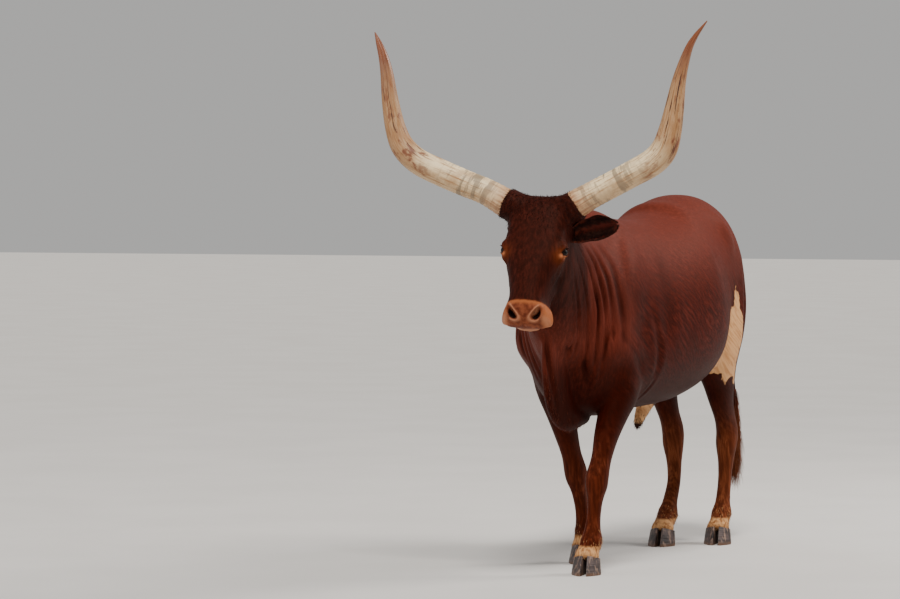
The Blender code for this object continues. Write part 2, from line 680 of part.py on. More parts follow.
def remeshed(obj, size, smooth_length):
    remesh = obj.modifiers.new("Remesh", "REMESH")
    remesh.mode = "VOXEL"
    remesh.voxel_size = size
    smooth = obj.modifiers.new("Smooth", "SMOOTH")
    smooth.factor = 0.5
    smooth.iterations = int((smooth_length / size) ** 2)
    return apply_modifiers(obj)


def thinned(obj, triangles):
    obj.modifiers.new("Triangulate", "TRIANGULATE")
    apply_modifiers(obj)
    decimate = obj.modifiers.new("Decimate", "DECIMATE")
    decimate.ratio = min(1.0, triangles / len(obj.data.polygons))
    return apply_modifiers(obj)


def copied(obj, name):
    new = bpy.data.objects.new(name, obj.data.copy())
    bpy.context.scene.collection.objects.link(new)
    return new


def cut_away(obj, plane, margin=0.0):
    """Remove what lies beyond a plane, given as a point and the normal that points beyond."""
    point, normal = plane
    bm = bmesh.new()
    bm.from_mesh(obj.data)
    place = Vector(point) + Vector(normal) * margin
    found = bmesh.ops.bisect_plane(
        bm, geom=bm.verts[:] + bm.edges[:] + bm.faces[:], dist=1e-6, plane_co=place,
        plane_no=Vector(normal), clear_outer=True)
    rim = [e for e in found["geom_cut"] if isinstance(e, bmesh.types.BMEdge)]
    bmesh.ops.holes_fill(bm, edges=rim, sides=0)
    bmesh.ops.triangulate(bm, faces=bm.faces)
    bm.to_mesh(obj.data)
    bm.free()
    return obj


def region(planes, grow=0.0, size=6.0):
    """A closed convex solid bounded by planes, each a point and an outward normal."""
    mesh = bpy.data.meshes.new("region")
    bm = bmesh.new()
    bmesh.ops.create_cube(bm, size=size)
    bm.to_mesh(mesh)
    bm.free()
    obj = bpy.data.objects.new("region", mesh)
    bpy.context.scene.collection.objects.link(obj)
    for plane in planes:
        cut_away(obj, plane, grow)
    return obj


def boolean(obj, others, operation, solver="EXACT"):
    """Join, cut or keep the overlap with closed solids, which are then removed."""
    tools = bpy.data.collections.new("tools")
    for other in others:
        tools.objects.link(other)
    mod = obj.modifiers.new("Boolean", "BOOLEAN")
    mod.operation = operation
    mod.operand_type = "COLLECTION"
    mod.collection = tools
    mod.solver = solver
    apply_modifiers(obj)
    for other in others:
        bpy.data.objects.remove(other, do_unlink=True)
    bpy.data.collections.remove(tools)
    return obj


def keep_largest(obj):
    """Merge stray doubles, split every face into triangles and keep the largest surface."""
    bm = bmesh.new()
    bm.from_mesh(obj.data)
    bmesh.ops.remove_doubles(bm, verts=bm.verts, dist=1e-6)
    bmesh.ops.triangulate(bm, faces=bm.faces)
    bm.verts.ensure_lookup_table()
    seen, parts = set(), []
    for vert in bm.verts:
        if vert in seen:
            continue
        part, queue = [], [vert]
        seen.add(vert)
        while queue:
            v = queue.pop()
            part.append(v)
            for edge in v.link_edges:
                other = edge.other_vert(v)
                if other not in seen:
                    seen.add(other)
                    queue.append(other)
        parts.append(part)
    parts.sort(key=len)
    for part in parts[:-1]:
        bmesh.ops.delete(bm, geom=part, context="VERTS")
    bmesh.ops.recalc_face_normals(bm, faces=bm.faces)
    bm.to_mesh(obj.data)
    bm.free()
    return obj


def grown(obj, amount=GAP):
    """A copy whose surface stands out by a small amount, to cut a neighbour with."""
    new = copied(obj, "cutter")
    points, normals = mesh_points(new)
    set_points(new, points + normals * amount)
    return new


# Cuts between the nodes of flesh
HEAD_PLANE = (tuple(on_head(-0.045, 0, -0.130)), tuple(unit(FACE_OUT * -0.76 - FACE_DOWN * 0.64)))
JAW_PLANE = (tuple(on_head(0.200, 0, -0.275)), tuple(unit(FACE_DOWN * 0.364 - FACE_OUT * 0.932)))
HEAD_PLANES = [HEAD_PLANE, JAW_PLANE]
NECK_PLANES = [
    ((0.0, -0.235, 1.05), tuple(unit([0.0, 1.0, 0.15]))),
    ((0.0, 0.0, 0.50), (0.0, 0.0, -1.0)),
]


def leg_region(leg, front):
    """Planes round one leg: its tilted top, and walls that keep the cut off the trunk."""
    s = 1 if leg.endswith("left") else -1
    if front:
        top = ((s * 0.25, 0.0, 0.665), tuple(unit([-s * 0.52, 0.0, 1.0])))
        walls = [((s * 0.030, 0, 0), (-s, 0, 0)), ((0, 0.55, 0), (0, 1, 0))]
    else:
        top = ((s * 0.25, 1.05, 0.760), tuple(unit([-s * 0.35, -0.12, 1.0])))
        walls = [((s * 0.012, 0, 0), (-s, 0, 0)), ((0, 0.89, 0), (0, -1, 0))]
    return [top] + walls


def coronet_plane(foot):
    """The tilted plane where a foot's hair meets its claws."""
    x, y, heading = foot
    forward = (math.sin(heading), -math.cos(heading))
    return (x, y, 0.062), tuple(unit([-forward[0] * 0.28, -forward[1] * 0.28, 1.0]))



def claw(leg, side):
    """One claw: a half almond on the ground, its toe wall sloping back up to the coronet."""
    x, y, heading = FEET[leg]
    inner_name = side * (1 if leg.endswith("left") else -1) < 0
    point, normal = coronet_plane(FEET[leg])
    s = (1 - np.cos(np.linspace(0, math.pi, 12))) / 2  # heel 0, toe 1
    cleft = 0.0025 + 0.008 * s**4
    outer = cleft + CLAW_WIDTH * np.sin(np.pi * s**0.9) ** 0.58 * (1 - 0.34 * s**2)
    ahead = np.concatenate([s, s[::-1][1:-1]])
    out = np.concatenate([outer, cleft[::-1][1:-1]])
    rings = []
    for rise in (0.0, 0.10, 0.55, 1.0):
        length = CLAW_LENGTH * (1 - 0.30 * rise) - 0.006 * (rise == 0.0)
        forward = (ahead - 0.5) * length + 0.005 - 0.021 * rise
        wide = 0.0025 + (out - 0.0025) * (1 - 0.12 * rise) * (0.96 if rise == 0.0 else 1.0)
        plan_x = x + math.sin(heading) * forward + side * math.cos(heading) * wide
        plan_y = y - math.cos(heading) * forward + side * math.sin(heading) * wide
        lid = point[2] - ((plan_x - point[0]) * normal[0] + (plan_y - point[1]) * normal[1]) / normal[2]
        rings.append(np.stack([plan_x, plan_y, (lid - GAP) * rise], -1))
    name = leg.replace("leg", "claw") + ("_inner" if inner_name else "_outer")
    return add_object(name, *skinned(np.array(rings)))


def horn(side):
    points = loft(horn_rows(side), side=HEADING, sides=16, per_span=2)
    name = "horn_left" if side > 0 else "horn_right"
    return add_object(name, *skinned(points))


def eyeball(name, side, radius):
    mesh = bpy.data.meshes.new(name)
    bm = bmesh.new()
    bmesh.ops.create_uvsphere(bm, u_segments=16, v_segments=8, radius=radius)
    bmesh.ops.translate(bm, verts=bm.verts, vec=Vector(eye_centre(side)))
    bm.to_mesh(mesh)
    bm.free()
    obj = bpy.data.objects.new(name, mesh)
    bpy.context.scene.collection.objects.link(obj)
    return obj


def thick_sheet(front, back):
    """Vertices and faces of the closed solid between two grids of points."""
    rows, cols = front.shape[:2]
    verts = np.concatenate([front.reshape(-1, 3), back.reshape(-1, 3)])
    index = np.arange(rows * cols).reshape(rows, cols)
    under = index + rows * cols

    def quads(a, b, c, d):
        return [tuple(map(int, q)) for q in np.stack([a, b, c, d], -1).reshape(-1, 4)]

    faces = quads(index[:-1, :-1], index[:-1, 1:], index[1:, 1:], index[1:, :-1])
    faces += quads(under[:-1, :-1], under[1:, :-1], under[1:, 1:], under[:-1, 1:])
    for near, far in ((index[0], under[0]), (under[-1], index[-1])):
        faces += quads(near[:-1], far[:-1], far[1:], near[1:])
    for near, far in ((under[:, 0], index[:, 0]), (index[:, -1], under[:, -1])):
        faces += quads(near[:-1], far[:-1], far[1:], near[1:])
    return verts, faces


def ear(side):
    """A cupped leaf: a rolled tube at its root that opens out and flattens to a blunt tip."""
    root = on_head(0.085, side * 0.092, -0.120)
    if side > 0:
        reach = unit(HEAD_LEFT * 0.94 + HEAD_UP * 0.36 - HEADING * 0.10)
        open_to = unit(HEADING * 0.88 - HEAD_UP * 0.30)
    else:
        reach = unit(-HEAD_LEFT * 0.26 - HEAD_UP * 0.06 - HEADING * 0.96)
        open_to = unit(-HEAD_LEFT * 0.90 - HEAD_UP * 0.25)
    open_to = unit(open_to - (open_to @ reach) * reach)
    across = np.cross(open_to, reach)
    along = np.sin(np.linspace(0, math.pi / 2, 12))[:, None]
    turn = np.linspace(-1, 1, 9)[None, :]
    half = 0.022 + 0.026 * np.sin(np.pi * along**1.2 * 0.85)
    half = half * np.sqrt(1 - 0.96 * along**7)
    arc = np.radians(150 - 105 * np.clip(along / 0.6, 0, 1) ** 0.7)
    radius = half / np.sin(np.minimum(arc, math.pi / 2))
    centre = root + (EAR_LENGTH * along)[..., None] * reach
    centre = centre + (radius * 0.8)[..., None] * open_to - (0.020 * along**2)[..., None] * HEAD_UP
    spoke = np.sin(turn * arc)[..., None] * across - np.cos(turn * arc)[..., None] * open_to
    thick = 0.0022 + 0.0022 * (1 - along)
    front = centre + (radius - thick)[..., None] * spoke
    back = centre + (radius + thick)[..., None] * spoke
    return add_object("ear_left" if side > 0 else "ear_right", *thick_sheet(front, back))


def switch():
    """The tail's brush: a core with flat tapered locks that hang and overlap round it."""
    top = np.array([0.078, 1.365, SWITCH_TOP - GAP])
    foot = np.array([0.090, 1.350, 0.285])
    core = []
    for t, r in ((0, 0.018), (0.15, 0.020), (0.4, 0.018), (0.7, 0.012), (0.95, 0.006)):
        core.append((*(top + (foot - top) * t), r, r, r, 2.0, 0))
    first = loft(core, side=(1, 0, 0), sides=10, per_span=2)
    first[0][:, 2] = SWITCH_TOP - GAP
    obj = add_object("tail_switch", *skinned(first))
    rng = np.random.default_rng(5)
    locks = []
    for i in range(12):
        turn = 2 * math.pi * (i * 0.382)
        start = 0.03 + 0.5 * (i / 12)
        length = (0.17 + 0.05 * rng.random()) * (1 - 0.35 * start)
        out = np.array([math.cos(turn), math.sin(turn), 0.0])
        hub = top + (foot - top) * start
        rows = []
        for t in (0, 0.3, 0.65, 1.0):
            place = hub + out * (0.010 + 0.012 * math.sin(t * 2.2)) - np.array([0, 0, length * t])
            place = place + np.array([0.004, -0.004, 0]) * t * rng.random()
            wide = 0.012 * (1 - 0.85 * t**1.5)
            rows.append((*place, wide, wide * 0.55, wide * 0.55, 2.0, 0))
        side = np.array([-out[1], out[0], 0.0])
        locks.append(add_object("lock", *skinned(loft(rows, side=side, sides=6, per_span=1))))
    return keep_largest(boolean(obj, locks, "UNION"))


def material(name, colour, roughness):
    mat = bpy.data.materials.new(name)
    mat.use_nodes = True
    shader = mat.node_tree.nodes["Principled BSDF"]
    shader.inputs["Base Color"].default_value = (*colour, 1)
    shader.inputs["Roughness"].default_value = roughness
    return mat


def finish_all():
    coat = material("hide", (0.115, 0.030, 0.016), 0.55)
    horny = material("horn", (0.62, 0.47, 0.30), 0.45)
    hoof = material("hoof", (0.055, 0.045, 0.042), 0.5)
    wet = material("eye", (0.008, 0.005, 0.004), 0.08)
    for obj in bpy.data.objects:
        name = obj.name
        mat = coat
        if name.startswith("horn"):
            mat = horny
        elif "claw" in name:
            mat = hoof
        elif name.startswith("eye"):
            mat = wet
        obj.data.materials.clear()
        obj.data.materials.append(mat)


def head_node(hide):
    obj = copied(hide, "head")
    for plane in HEAD_PLANES:
        cut_away(obj, plane, 0.03)
    remeshed(obj, HEAD_VOXEL, 0.008)
    shape_head(obj)
    thinned(obj, HEAD_TRIANGLES)
    boolean(obj, [region(HEAD_PLANES, -GAP / 2)], "INTERSECT")
    sockets = [eyeball("socket", side, EYE_RADIUS + GAP) for side in (1, -1)]
    return keep_largest(boolean(obj, sockets, "DIFFERENCE"))


def softened(obj, weight, length):
    """Smooth the surface more where weight, a function of points, is 1."""
    points, _ = mesh_points(obj)
    strength = weight(points)
    group = obj.vertex_groups.new(name="soft")
    for level in range(1, 11):
        chosen = np.nonzero(np.round(strength * 10).astype(int) == level)[0]
        group.add(chosen.tolist(), level / 10, "REPLACE")
    smooth = obj.modifiers.new("Smooth", "SMOOTH")
    smooth.factor = 0.5
    smooth.iterations = int((length / VOXEL) ** 2)
    smooth.vertex_group = "soft"
    return apply_modifiers(obj)


def trunk_weight(points):
    """1 on the trunk and neck, falling to 0 on the legs, the tail and the head."""
    x, y, z = points.T
    back = (points - HEAD_PLANE[0]) @ HEAD_PLANE[1]
    legs = np.clip((z - 0.62) / 0.12, 0, 1)
    tail_side = np.clip((1.335 - y) / 0.05, 0, 1)
    return legs * tail_side * np.clip(back / 0.06, 0, 1)


def grafted(obj, stock):
    """Trim a piece so that its root meets the stock's surface with the usual gap."""
    return keep_largest(boolean(obj, [grown(stock)], "DIFFERENCE"))


def flip(plane):
    point, normal = plane
    return point, tuple(-np.asarray(normal))


def body_nodes(hide):
    shape_body(hide)
    thinned(hide, BODY_TRIANGLES)
    tail_plane = ((0, TAIL_LEAVES, 0), (0, -1, 0))
    regions = {"tail": [tail_plane]}
    for leg in FEET:
        regions[leg] = leg_region(leg, leg.startswith("fore"))
    torso = copied(hide, "torso")
    cutters = [region(planes, GAP / 2) for planes in regions.values()]
    cutters.append(region(NECK_PLANES, GAP / 2))
    cutters.append(region(HEAD_PLANES, GAP / 2))
    keep_largest(boolean(torso, cutters, "DIFFERENCE"))
    neck = copied(hide, "neck")
    boolean(neck, [region(HEAD_PLANES, GAP / 2)], "DIFFERENCE")
    keep_largest(boolean(neck, [region(NECK_PLANES, -GAP / 2)], "INTERSECT"))
    tail_obj = copied(hide, "tail")
    bottom = ((0, 0, SWITCH_TOP), (0, 0, -1))
    keep_largest(boolean(tail_obj, [region([tail_plane, bottom], -GAP / 2)], "INTERSECT"))
    for leg in FEET:
        obj = copied(hide, leg)
        planes = regions[leg] + [flip(coronet_plane(FEET[leg]))]
        keep_largest(boolean(obj, [region(planes, -GAP / 2)], "INTERSECT"))
        for side in (1, -1):
            claw(leg, side)
    bpy.data.objects.remove(hide, do_unlink=True)


def centre_on_floor():
    """Move every mesh so that the whole stands at the middle of its bounding box's floor."""
    corners = [Vector(c) for obj in bpy.data.objects for c in obj.bound_box]
    low = [min(c[i] for c in corners) for i in range(3)]
    high = [max(c[i] for c in corners) for i in range(3)]
    shift = Vector((-(low[0] + high[0]) / 2, -(low[1] + high[1]) / 2, -low[2]))
    for obj in bpy.data.objects:
        obj.data.transform(Matrix.Translation(shift))


def main():
    for obj in list(bpy.data.objects):
        bpy.data.objects.remove(obj, do_unlink=True)
    hide = remeshed(joined("hide", flesh()), VOXEL, SMOOTH_LENGTH)
    softened(hide, trunk_weight, TRUNK_SMOOTH)
    head_obj = head_node(hide)
    body_nodes(hide)
    for side in (1, -1):
        grafted(horn(side), head_obj)
        grafted(ear(side), head_obj)
        eyeball("eye_left" if side > 0 else "eye_right", side, EYE_RADIUS)
    switch()
    centre_on_floor()
    finish_all()


main()
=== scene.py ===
import math

import bmesh
import bpy
import numpy as np
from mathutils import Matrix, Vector


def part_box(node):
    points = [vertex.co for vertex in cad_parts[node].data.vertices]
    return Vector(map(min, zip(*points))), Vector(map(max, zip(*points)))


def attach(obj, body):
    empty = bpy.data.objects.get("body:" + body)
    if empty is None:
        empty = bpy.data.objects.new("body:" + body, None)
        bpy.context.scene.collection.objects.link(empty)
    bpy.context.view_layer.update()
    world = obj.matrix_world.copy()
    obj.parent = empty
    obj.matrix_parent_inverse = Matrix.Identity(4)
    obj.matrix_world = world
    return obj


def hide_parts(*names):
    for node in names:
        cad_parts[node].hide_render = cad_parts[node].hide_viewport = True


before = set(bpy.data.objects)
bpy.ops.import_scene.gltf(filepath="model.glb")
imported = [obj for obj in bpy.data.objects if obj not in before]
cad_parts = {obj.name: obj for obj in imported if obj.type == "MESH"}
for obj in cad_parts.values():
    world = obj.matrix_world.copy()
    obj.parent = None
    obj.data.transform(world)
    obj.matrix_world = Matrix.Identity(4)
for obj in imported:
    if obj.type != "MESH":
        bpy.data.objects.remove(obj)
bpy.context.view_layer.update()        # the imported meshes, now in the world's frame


# each vector over its own length
def unit(v):
    v = np.asarray(v, float)
    return v / np.maximum(np.linalg.norm(v, axis=-1, keepdims=True), 1e-12)


# 3t² minus 2t³, where t is how far x lies from low to high
def smoothStep(x, low, high):
    t = np.clip((x - low) / (high - low), 0, 1)
    return t * t * (3 - 2 * t)


# e to the power of minus the distance over its reach, squared
def bell(distance, reach):
    return np.exp(-((distance / reach) ** 2))


# Catmull-Rom: a cubic through each pair of rows whose slopes come from the rows beside them
def spline(rows, steps):
    table = np.asarray(rows, float)
    ghost = np.vstack([2 * table[0] - table[1], table, 2 * table[-1] - table[-2]])
    a, b, c, d = (ghost[i : i + len(table) - 1, None] for i in range(4))
    t = (np.arange(steps) / steps)[None, :, None]
    curve = 2 * b + (c - a) * t + (2 * a - 5 * b + 4 * c - d) * t**2 + (3 * b - a - 3 * c + d) * t**3
    return np.vstack([curve.reshape(-1, table.shape[1]) / 2, table[-1:]])


# the head's own directions: down the face, to its left and out of the forehead
headPlace = {"poll": (0.040, -0.490, 1.408), "yaw": 10, "roll": 2.2, "facePitch": 63, "axisDepth": -0.105,
             "eyeAlong": 0.190, "eyeSide": 0.106, "eyeDeep": -0.050, "eyeRadius": 0.020}
yaw, roll, pitch = (math.radians(headPlace[k]) for k in ("yaw", "roll", "facePitch"))
heading = np.array([math.sin(yaw), -math.cos(yaw), 0.0])
levelLeft = np.array([math.cos(yaw), math.sin(yaw), 0.0])
skyward = np.array([0.0, 0.0, 1.0])
headLeft = levelLeft * math.cos(roll) - skyward * math.sin(roll)
headUp = skyward * math.cos(roll) + levelLeft * math.sin(roll)
faceDown = heading * math.cos(pitch) - headUp * math.sin(pitch)
faceOut = heading * math.sin(pitch) + headUp * math.cos(pitch)
poll = np.array(headPlace["poll"])


# poll + u down the face + v to the left + w out of the forehead
def onHead(u, v, w):
    u, v, w = (np.asarray(x, float)[..., None] for x in (u, v, w))
    return poll + u * faceDown + v * headLeft + w * faceOut


def inHead(points):
    local = np.asarray(points) - poll
    return local @ faceDown, local @ headLeft, local @ faceOut


def eyeCentre(side):
    return onHead(headPlace["eyeAlong"], side * headPlace["eyeSide"], headPlace["eyeDeep"])


eyeLow, eyeHigh = (np.array(corner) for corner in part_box("eye_left"))
shift = (eyeLow + eyeHigh) / 2 - eyeCentre(1)  # from the tables' own origin to the frame's


# mesh tools: a closed tube's faces, a new piece, its points, its attributes, one pass of edits
def tubeFaces(rings, sides, offset=0):
    first = np.arange(rings - 1)[:, None] * sides + np.arange(sides)
    beside = np.arange(rings - 1)[:, None] * sides + (np.arange(sides) + 1) % sides
    quads = np.stack([first, beside, beside + sides, first + sides], -1).reshape(-1, 4)
    ring, turned, last = np.arange(sides), (np.arange(sides) + 1) % sides, (rings - 1) * sides
    low, high = rings * sides, rings * sides + 1
    tris = np.concatenate([np.stack([np.full(sides, low), turned, ring], -1),
                           np.stack([np.full(sides, high), last + ring, last + turned], -1)])
    return quads + offset, tris + offset


def newPiece(name, points, quads=None, tris=None):
    mesh = bpy.data.meshes.new(name)
    kinds = [np.asarray(f, np.int32) for f in (quads, tris) if f is not None and len(f)]
    corners = np.concatenate([f.ravel() for f in kinds])
    sizes = np.concatenate([np.full(len(f), f.shape[1], np.int32) for f in kinds])
    mesh.vertices.add(len(points))
    mesh.vertices.foreach_set("co", np.asarray(points, np.float32).ravel())
    mesh.loops.add(len(corners))
    mesh.loops.foreach_set("vertex_index", corners)
    mesh.polygons.add(len(sizes))
    mesh.polygons.foreach_set("loop_start", (np.cumsum(sizes) - sizes).astype(np.int32))
    mesh.polygons.foreach_set("use_smooth", np.ones(len(sizes), bool))
    mesh.update(calc_edges=True)
    mesh.validate()
    piece = bpy.data.objects.new(name, mesh)
    bpy.context.scene.collection.objects.link(piece)
    return piece


def pointsOf(piece):
    count = len(piece.data.vertices)
    points, normals = np.empty(count * 3, np.float32), np.empty(count * 3, np.float32)
    piece.data.vertices.foreach_get("co", points)
    piece.data.vertices.foreach_get("normal", normals)
    return points.reshape(-1, 3).astype(float), normals.reshape(-1, 3).astype(float)


def setPoints(piece, points):
    piece.data.vertices.foreach_set("co", points.astype(np.float32).ravel())
    piece.data.update()


def paint(piece, name, values):
    values = np.asarray(values, np.float32)
    kind = "FLOAT_VECTOR" if values.ndim == 2 else "FLOAT"
    layer = piece.data.attributes.new(name, kind, "POINT")
    layer.data.foreach_set("vector" if values.ndim == 2 else "value", values.ravel())


def edited(piece, change):
    bm = bmesh.new()
    bm.from_mesh(piece.data)
    change(bm)
    bm.to_mesh(piece.data)
    bm.free()
    return piece


def outward(piece):
    return edited(piece, lambda bm: bmesh.ops.recalc_face_normals(bm, faces=bm.faces))


def applied(piece):
    graph = bpy.context.evaluated_depsgraph_get()
    mesh = bpy.data.meshes.new_from_object(piece.evaluated_get(graph))
    piece.modifiers.clear()
    piece.data = mesh
    return piece


# a row's missing last numbers: rise and drop as the last one given, square 2, no taper
def filled(row):
    return (*row, *(row[-1], row[-1], 2.0, 0.0)[len(row) - 4 :])


# rings along rows of x, y, z, half width, rise, drop, squareness and taper: across by half width x cos,
# up by rise or drop x sin, both to a power
def loft(rows, side=(1, 0, 0), sides=32, steps=5):
    table = spline([filled(row) for row in rows], steps)
    centre = table[:, :3]
    half, rise, drop, square, taper = (table[:, i] for i in range(3, 8))
    tangent = unit(np.gradient(centre, axis=0))
    across = np.asarray(side, float) + np.zeros_like(tangent)
    across = unit(across - (across * tangent).sum(1, keepdims=True) * tangent)
    up = np.cross(across, tangent)
    turn = np.linspace(0, 2 * math.pi, sides, endpoint=False)
    c, s = np.cos(turn), np.sin(turn)
    power = 2 / square[:, None]
    wide = np.sign(c) * np.abs(c) ** power * (1 + taper[:, None] * s)
    tall = np.sign(s) * np.abs(s) ** power
    reach = np.where(s > 0, rise[:, None], drop[:, None])
    return centre[:, None] + across[:, None] * (half[:, None] * wide)[..., None] \
        + up[:, None] * (reach * tall)[..., None]


# the body's masses: rows along each, as loft reads them where no other order is given
bodyRows = {
    "trunk": [  # y, axis height, half width, top, bottom, squareness, taper
        (-0.265, 0.84, 0.06, 0.98, 0.66, 2, 0), (-0.22, 0.86, 0.135, 1.1, 0.6, 2.1, 0),
        (-0.13, 0.89, 0.195, 1.22, 0.575, 2.2, -0.02), (0, 0.92, 0.235, 1.31, 0.575, 2.2, -0.06),
        (0.12, 0.93, 0.255, 1.35, 0.585, 2.1, -0.12), (0.28, 0.94, 0.278, 1.335, 0.59, 2.1, -0.08),
        (0.45, 0.94, 0.292, 1.33, 0.592, 2.15, -0.03), (0.62, 0.95, 0.298, 1.352, 0.602, 2.2, 0),
        (0.76, 0.96, 0.286, 1.392, 0.63, 2.2, 0), (0.88, 1, 0.252, 1.432, 0.7, 2.3, 0.03),
        (0.98, 1.04, 0.222, 1.44, 0.78, 2.4, 0.06), (1.1, 1.06, 0.208, 1.416, 0.83, 2.4, 0.05),
        (1.2, 1.07, 0.196, 1.37, 0.87, 2.3, 0), (1.272, 1.08, 0.16, 1.312, 0.925, 2.2, 0),
        (1.313, 1.09, 0.085, 1.24, 0.99, 2, 0)],
    "neck": [  # x, y, z, half width, rise, drop, squareness, taper
        (0, 0.12, 0.98, 0.2, 0.35, 0.36, 2.1, -0.15), (0, -0.02, 1, 0.185, 0.335, 0.38, 2.1, -0.15),
        (0.005, -0.14, 1.04, 0.155, 0.3, 0.36, 2.1, -0.12),
        (0.015, -0.25, 1.09, 0.13, 0.265, 0.29, 2.1, -0.08), (0.028, -0.35, 1.15, 0.115, 0.215, 0.21, 2.1),
        (0.042, -0.43, 1.21, 0.105, 0.165, 0.16, 2.1), (0.05, -0.475, 1.26, 0.095, 0.11, 0.13, 2.1)],
    "head": [  # down the face, forehead depth, jaw depth, half width, squareness, taper
        (-0.022, -0.045, -0.155, 0.07, 2.2, 0), (-0.008, -0.014, -0.178, 0.1, 2.3, 0),
        (0.02, -0.001, -0.205, 0.118, 2.5, 0.02), (0.06, 0.002, -0.228, 0.126, 2.7, 0.06),
        (0.11, 0.002, -0.244, 0.121, 2.8, 0.12), (0.155, 0.001, -0.256, 0.117, 2.8, 0.16),
        (0.195, 0, -0.261, 0.112, 2.7, 0.16), (0.235, -0.002, -0.251, 0.103, 2.6, 0.13),
        (0.28, -0.005, -0.222, 0.09, 2.5, 0.1), (0.325, -0.009, -0.194, 0.081, 2.4, 0.06),
        (0.37, -0.013, -0.168, 0.077, 2.4, 0), (0.405, -0.018, -0.148, 0.086, 2.6, -0.04),
        (0.43, -0.029, -0.14, 0.093, 2.9, -0.06), (0.451, -0.046, -0.134, 0.091, 2.8, -0.04),
        (0.468, -0.068, -0.122, 0.072, 2.5, 0), (0.474, -0.084, -0.11, 0.046, 2.2, 0)],
    "lowerLip": [  # down the face, depth, half width, reach
        (0.29, -0.168, 0.05, 0.03), (0.36, -0.152, 0.053, 0.029), (0.41, -0.143, 0.054, 0.027),
        (0.447, -0.139, 0.052, 0.021), (0.464, -0.137, 0.04, 0.013), (0.469, -0.136, 0.02, 0.006)],
    "flew": [  # the upper lip's hanging corner: down the face, out to the side, depth, radius
        (0.38, 0.066, -0.092, 0.012), (0.42, 0.076, -0.102, 0.02), (0.444, 0.079, -0.112, 0.02),
        (0.459, 0.078, -0.118, 0.013)],
    "boss": [  # out to the side, up, radius
        (0, -0.012, 0.05), (0.05, -0.014, 0.054), (0.095, -0.009, 0.059), (0.126, 0.003, 0.061),
        (0.14, 0.01, 0.054), (0.149, 0.014, 0.036)],
    "orbit": [  # down the face, out to the side, depth, radius
        (0.15, 0.085, -0.05, 0.02), (0.175, 0.1, -0.046, 0.031), (0.205, 0.098, -0.048, 0.029),
        (0.24, 0.082, -0.055, 0.018)],
    "dewlap": [
        (0.036, -0.355, 1.08, 0.038, 0.045), (0.032, -0.335, 0.98, 0.036, 0.08),
        (0.024, -0.305, 0.87, 0.036, 0.105), (0.012, -0.27, 0.76, 0.037, 0.115),
        (0.003, -0.215, 0.655, 0.04, 0.105, 0.1), (0, -0.14, 0.59, 0.042, 0.07, 0.06),
        (0, -0.03, 0.58, 0.05, 0.03)],
    "sheath": [
        (0, 0.74, 0.64, 0.045, 0.02, 0.025), (0, 0.64, 0.605, 0.036, 0.03, 0.032),
        (0, 0.575, 0.565, 0.026, 0.036), (0, 0.54, 0.53, 0.018, 0.028), (0, 0.528, 0.512, 0.01, 0.014)],
    "tail": [
        (0, 1.23, 1.318, 0.036, 0.03), (0, 1.292, 1.288, 0.034, 0.03), (0.004, 1.345, 1.205, 0.03, 0.027),
        (0.012, 1.372, 1.08, 0.026, 0.024), (0.028, 1.38, 0.93, 0.022, 0.021), (0.05, 1.376, 0.78, 0.019),
        (0.072, 1.368, 0.66, 0.018), (0.08, 1.364, 0.58, 0.017)],
}
# paired masses, given for the left side in loft's order
pairedRows = {
    "blade": [
        (0.075, 0.15, 1.3, 0.035, 0.08), (0.15, 0.08, 1.16, 0.062, 0.115, 0.115, 2.2),
        (0.178, 0, 1, 0.066, 0.12, 0.12, 2.2), (0.172, -0.09, 0.88, 0.06, 0.095, 0.095, 2.2),
        (0.15, -0.12, 0.8, 0.04, 0.06)],
    "arm": [
        (0.15, -0.17, 0.905, 0.045, 0.05), (0.172, -0.1, 0.88, 0.062, 0.085), (0.178, 0, 0.85, 0.066, 0.11),
        (0.165, 0.1, 0.79, 0.058, 0.095), (0.15, 0.135, 0.74, 0.04, 0.05)],
    "hook": [
        (0.08, 0.88, 1.35, 0.045, 0.04), (0.15, 0.94, 1.305, 0.05, 0.055), (0.172, 1, 1.24, 0.045, 0.065),
        (0.16, 1.08, 1.15, 0.04, 0.08)],
    "flank": [
        (0.19, 0.8, 0.84, 0.05, 0.08, 0.06), (0.165, 0.88, 0.8, 0.045, 0.09, 0.07),
        (0.14, 0.98, 0.79, 0.045, 0.09, 0.08)],
    "pin": [
        (0.06, 1.17, 1.265, 0.042, 0.045), (0.088, 1.245, 1.205, 0.036, 0.04, 0.045),
        (0.085, 1.27, 1.14, 0.028, 0.028, 0.036)],
}
